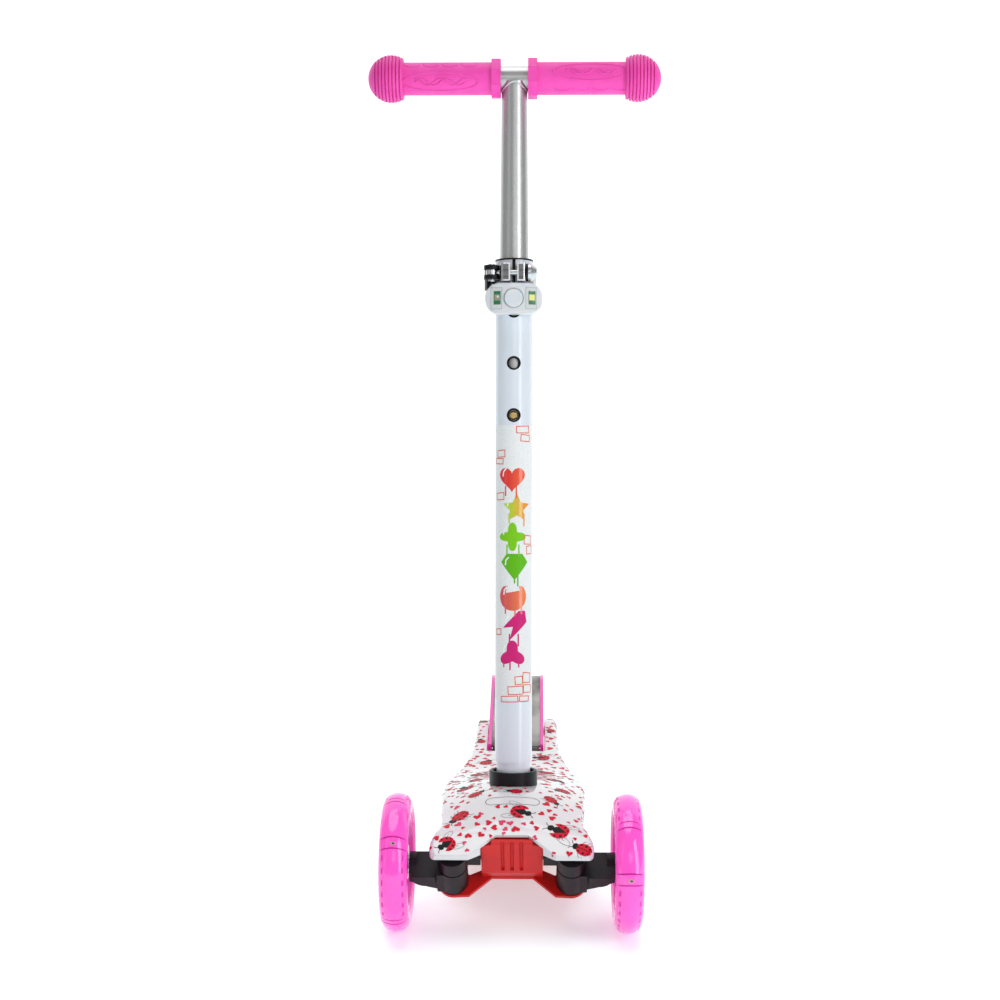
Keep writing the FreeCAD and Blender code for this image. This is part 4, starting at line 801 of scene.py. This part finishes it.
def ridge(shape, points, radius, closed=False):
    """A thin raised bead along a line of points."""
    sides = 6
    turns = turns_between(0, math.tau, sides)[:-1]
    count = len(points)
    rings = []
    for number, point in enumerate(points):
        before = points[number - 1] if number or closed else point
        after = points[(number + 1) % count] if number < count - 1 or closed else point
        tangent = (after - before).normalized()
        side = tangent.orthogonal().normalized()
        other = tangent.cross(side)
        spokes = [side * math.cos(t) + other * math.sin(t) for t in turns]
        rings.append([shape.verts.new(point + spoke * radius) for spoke in spokes])
    for first, second in zip(rings, rings[1:] + rings[:1] if closed else rings[1:]):
        offset = min(range(sides), key=lambda step: (second[step].co - first[0].co).length)
        for step in range(sides):
            last = (step + 1) % sides
            far, near = second[(last + offset) % sides], second[(step + offset) % sides]
            shape.faces.new((first[step], first[last], far, near))
    if not closed:
        shape.faces.new(rings[0][::-1])
        shape.faces.new(rings[-1])


def on_grip(across, around):
    """A point on a grip's body: along the bar and round it in millimetres; 0 faces the front."""
    radius = GRIP_RADIUS * MM
    angle = around / GRIP_RADIUS
    return COLUMN @ Vector((across * MM, -radius * math.cos(angle), BAR_HEIGHT + radius * math.sin(angle)))


def grip_relief(name, middle, level, arcs):
    """An oval rim with a plain wave motif in it, and a row of scallops further round the grip."""
    shape = bmesh.new()
    rim = [on_grip(middle + x, level + y) for x, y in oval(69, 17.2, steps=48)]
    ridge(shape, rim, 0.75 * MM, closed=True)
    reach = 23
    for shift in (0, math.pi / 2):
        places = turns_between(-reach, reach, 48)
        wave = [on_grip(middle + x, level + 2.9 * math.sin(x / reach * math.tau + shift)) for x in places]
        ridge(shape, wave, 0.8 * MM)
    for number in range(4):
        start = middle - 26 + number * 17.5
        sweep = turns_between(-1.5, 1.5, 10)
        arc = [on_grip(start + 7 * math.sin(t), arcs - 3.2 * math.cos(t)) for t in sweep]
        ridge(shape, arc, 0.65 * MM)
    piece(name, shape, [GRIP], "handlebar")


def prism(shape, front, back):
    """Join two like outlines of points into a closed solid."""
    first = [shape.verts.new(point) for point in front]
    second = [shape.verts.new(point) for point in back]
    shape.faces.new(first)
    shape.faces.new(second[::-1])
    for step, following in enumerate([*range(1, len(first)), 0]):
        shape.faces.new((first[step], second[step], second[following], first[following]))


def lamp_windows():
    """Two clear windows in the lamp's face with the board and a light behind each; the right window's chip
    and a small spot on it carry painted light.
    """
    tree = surface_of(NODES["lamp_body"])

    def place(across, along, layer):
        start = COLUMN @ (Vector((across, -60, along)) * MM)
        hit, _, _, _ = tree.ray_cast(start, BACKWARDS)
        return just_above(hit, -BACKWARDS, layer) if hit else None

    low, high = span_on_column("lamp_body")
    middle = (low.z + high.z) / 2
    rim = ink("window_rim", (0.42, 0.43, 0.42))
    pane = ink("window_pane", (0.66, 0.66, 0.66))
    dull = ink("unlit_chip", (0.36, 0.31, 0.25))
    bright = ink("lit_chip", (0.85, 0.80, 0.30))
    halo = ink("button_edge", (0.70, 0.70, 0.74))
    sheet = Print(place, 2.0)
    # Painted light: the right window's chip and a small spot on it are painted bright; the left chip is
    # painted dull.
    for side, chip in ((-1, dull), (1, bright)):
        x = side * 15.8
        sheet.add(rectangle(x, middle, 10.4, 20), rim, 0)
        sheet.add(rectangle(x, middle, 9.6, 19.2), pane, 1)
        sheet.add(rectangle(x + 0.8, middle + 0.3, 6.4, 12.2), BOARD, 2)
        sheet.add(rectangle(x + 0.8, middle + 0.6, 5.0, 5.4), chip, 3)
        sheet.add(oval(2.4, 2.4, x + 1.4, middle + 1.4, 12), bright if side > 0 else pane, 4)
    edge = oval(18.8, 18.8, 0, middle, 40)
    for quad in stroke(edge + edge[:1], 0.5):
        sheet.add(quad, halo, 0)
    sheet.finish("lamp_window_print", "column")


def span_on_column(name):
    """The opposite corners of a CAD node's box in the column's own frame, in millimetres."""
    back = COLUMN.inverted()
    across, depth, along = zip(*(back @ vert.co / MM for vert in NODES[name].data.vertices))
    return Vector((min(across), min(depth), min(along))), Vector((max(across), max(depth), max(along)))


def clamp_pads():
    """Knurled pads with bright rims on the clamp's two lugs."""
    low, high = span_on_column("clamp_collar")
    front, thickness, rim = low.y - 0.35, 0.4, 1.3
    shape = bmesh.new()
    for left, right in ((-9.6, -4.6), (4.4, 8.8)):
        pad = rectangle((left + right) / 2, (low.z + high.z) / 2, right - left, high.z - low.z - 2 * rim)
        near, far = ([COLUMN @ (Vector((x, y, z)) * MM) for x, z in pad] for y in (front, front + thickness))
        prism(shape, near, far)
    piece("clamp_pads", shape, [KNURL], "column")


def wheel_bands(side, first):
    """Painted shade on a front wheel's tread, laid as thin ink: darker lines along the edges of the panels
    between its three light pockets, darker patches over the core's hollows along the sides, and a lens at
    each pocket.
    """
    name = "right" if side > 0 else "left"
    tree = surface_of(NODES[f"front_tyre_{name}"])
    low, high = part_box(f"front_tyre_{name}")
    centre = (Vector(low) + Vector(high)) / 2
    radius = (high[2] - low[2]) / 2

    def place(across, around, layer):
        angle = around * MM / radius
        outward = Vector((0, -math.cos(angle), math.sin(angle)))
        start = Vector((centre.x + across * MM, centre.y, centre.z)) + outward * 0.09
        hit, _, _, _ = tree.ray_cast(start, -outward)
        return just_above(hit, outward, layer) if hit else None

    edge = ink(f"painted_edge_shade_{name}", (0.60, 0.02, 0.33))
    hollow = ink(f"painted_hollow_shade_{name}", (0.80, 0.05, 0.45))
    lens = ink(f"lens_{name}", (0.62, 0.30, 0.42))
    dark = ink(f"lens_dark_{name}", (0.10, 0.03, 0.05))
    turn = radius / MM
    sheet = Print(place, 3.0)
    for number in range(3):
        pocket = (first + number * math.tau / 3) * turn
        far = pocket - math.radians(74) * turn
        # Painted shade: darker lines across the tread at the panels' edges, where the core's window edges
        # lie under the clear tyre.
        for around, width in ((pocket + 5, 1.3), (pocket - 5, 1.1), (far + 3, 0.9), (far - 3, 1.3)):
            line = [(x, around + 1.0 * math.cos(x * 0.16)) for x in range(-11, 12, 2)]
            for quad in stroke(line, width):
                sheet.add(quad, edge, 1)
        # Painted shade: darker patches along the tyre's sides over the hollows in the core.
        for across in (-8.8, 8.8):
            for around in range(6):
                spot = far + 10 + 11 * around
                sheet.add(rectangle(across, spot, 1.5, 5.2), hollow, 0)
        sheet.add(oval(6.0, 3.4, 0, pocket, 16), lens, 2)
        sheet.add(oval(2.0, 1.6, 0.6, pocket, 12), dark, 3)
    sheet.finish(f"wheel_bands_{name}", f"front_wheel_{name}")


def fender_lip():
    """The steel insert's front end, turned down over the hinge barrel."""
    plate = NODES["fender_plate"].data
    low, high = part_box("fender_plate")
    front = low[1]
    top = max(vert.co.z for vert in plate.vertices if vert.co.y < front + 2 * MM)
    half = (high[0] - low[0]) / 2 - 1 * MM
    outer = [(3.2, 0.1), (0.4, -0.4), (-0.4, -1.6), (-0.6, -6.2)]
    inner = [(-0.1, -6.2), (0.3, -1.8), (0.8, -1.0), (3.2, -0.6)]
    profile = [(front + y * MM, top + z * MM) for y, z in outer + inner]
    shape = bmesh.new()
    prism(shape, [(-half, y, z) for y, z in profile], [(half, y, z) for y, z in profile])
    bmesh.ops.recalc_face_normals(shape, faces=shape.faces)
    piece("fender_lip", shape, [plate.materials[0]], "fender")


for side_name, centre, level, arcs in (("left", -68, -6.6, 12.0), ("right", 70, 3.4, -12.5)):
    grip_relief(f"grip_relief_{side_name}", centre, level, arcs)
lamp_windows()
clamp_pads()
wheel_bands(-1, math.radians(37))
wheel_bands(1, math.radians(8))
fender_lip()


def shorten(name):
    """Give a spring's CAD node its own copy of its mesh."""
    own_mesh(NODES[name])


# ---------------------------------------------------------------- light, floor, camera


def stage_sheet(name, corners, colour, glow):
    """A flat sheet of the studio, pale and a little self-lit, as a light table is."""
    mesh = bpy.data.meshes.new(name)
    mesh.from_pydata([Vector(corner) for corner in corners], [], [(0, 1, 2, 3)])
    made = bpy.data.objects.new(name, mesh)
    bpy.context.scene.collection.objects.link(made)
    tree = Tree(name)
    tree.set(
        Base_Color=(*colour, 1),
        Roughness=0.9,
        Specular_IOR_Level=0.0,
        Emission_Color=(1, 1, 1, 1),
        Emission_Strength=glow,
    )
    mesh.materials.append(tree.material)


def area(name, place, size, power):
    """A rectangular light that faces the middle of the scooter."""
    light = bpy.data.lights.new(name, "AREA")
    light.shape = "RECTANGLE"
    light.size, light.size_y = size
    light.energy = power
    made = bpy.data.objects.new(name, light)
    made.location = place
    made.rotation_euler = (Vector((0, -0.05, 0.35)) - Vector(place)).to_track_quat("-Z", "Y").to_euler()
    bpy.context.scene.collection.objects.link(made)


def studio():
    """Pale floor and wall, a soft sun and three lights."""
    near, far, wide, tall = -4.0, 3.0, 6.0, 6.0
    floor = ((-wide, near, 0), (wide, near, 0), (wide, far, 0), (-wide, far, 0))
    wall = ((-wide, far, 0), (wide, far, 0), (wide, far, tall), (-wide, far, tall))
    stage_sheet("floor", floor, (0.78, 0.93, 0.93), 0.38)
    stage_sheet("wall", wall, (0.2, 0.2, 0.2), 1.0)
    sun = bpy.data.lights.new("overhead", "SUN")
    sun.energy = 1.35
    sun.angle = math.radians(50)
    made = bpy.data.objects.new("overhead", sun)
    made.rotation_euler = (math.radians(-8), math.radians(-6), 0)
    bpy.context.scene.collection.objects.link(made)
    area("strip_right", (1.2, -1.3, 0.9), (0.6, 1.7), 12)
    area("strip_left", (-1.4, -1.2, 1.0), (0.35, 1.7), 1.2)
    area("front", (0.3, -2.6, 1.5), (1.2, 0.8), 4)


def background():
    """White to the camera, but dimmer as a light on the scooter."""
    ambient = 0.34
    world = bpy.data.worlds.new("studio")
    world.use_nodes = True
    nodes, links = world.node_tree.nodes, world.node_tree.links
    nodes["Background"].inputs["Color"].default_value = (1, 1, 1, 1)
    seen = nodes.new("ShaderNodeLightPath")
    strength = nodes.new("ShaderNodeMath")
    strength.operation = "MULTIPLY_ADD"
    strength.inputs[1].default_value = 1 - ambient
    strength.inputs[2].default_value = ambient
    links.new(seen.outputs["Is Camera Ray"], strength.inputs[0])
    links.new(strength.outputs[0], nodes["Background"].inputs["Strength"])
    bpy.context.scene.world = world
    bpy.context.scene.view_settings.view_transform = "Standard"


def camera():
    lens = bpy.data.cameras.new("camera")
    lens.sensor_width = 36
    lens.lens = 59.4
    made = bpy.data.objects.new("camera", lens)
    made.location = (0.020, -1.589, 0.626)
    made.rotation_euler = (math.radians(80), math.radians(0.12), math.radians(1.23))
    bpy.context.scene.collection.objects.link(made)
    bpy.context.scene.camera = made


studio()
background()
camera()

for cad in NODES.values():
    smooth_by_angle(cad)

shorten("foot_spring")
shorten("snap_spring")
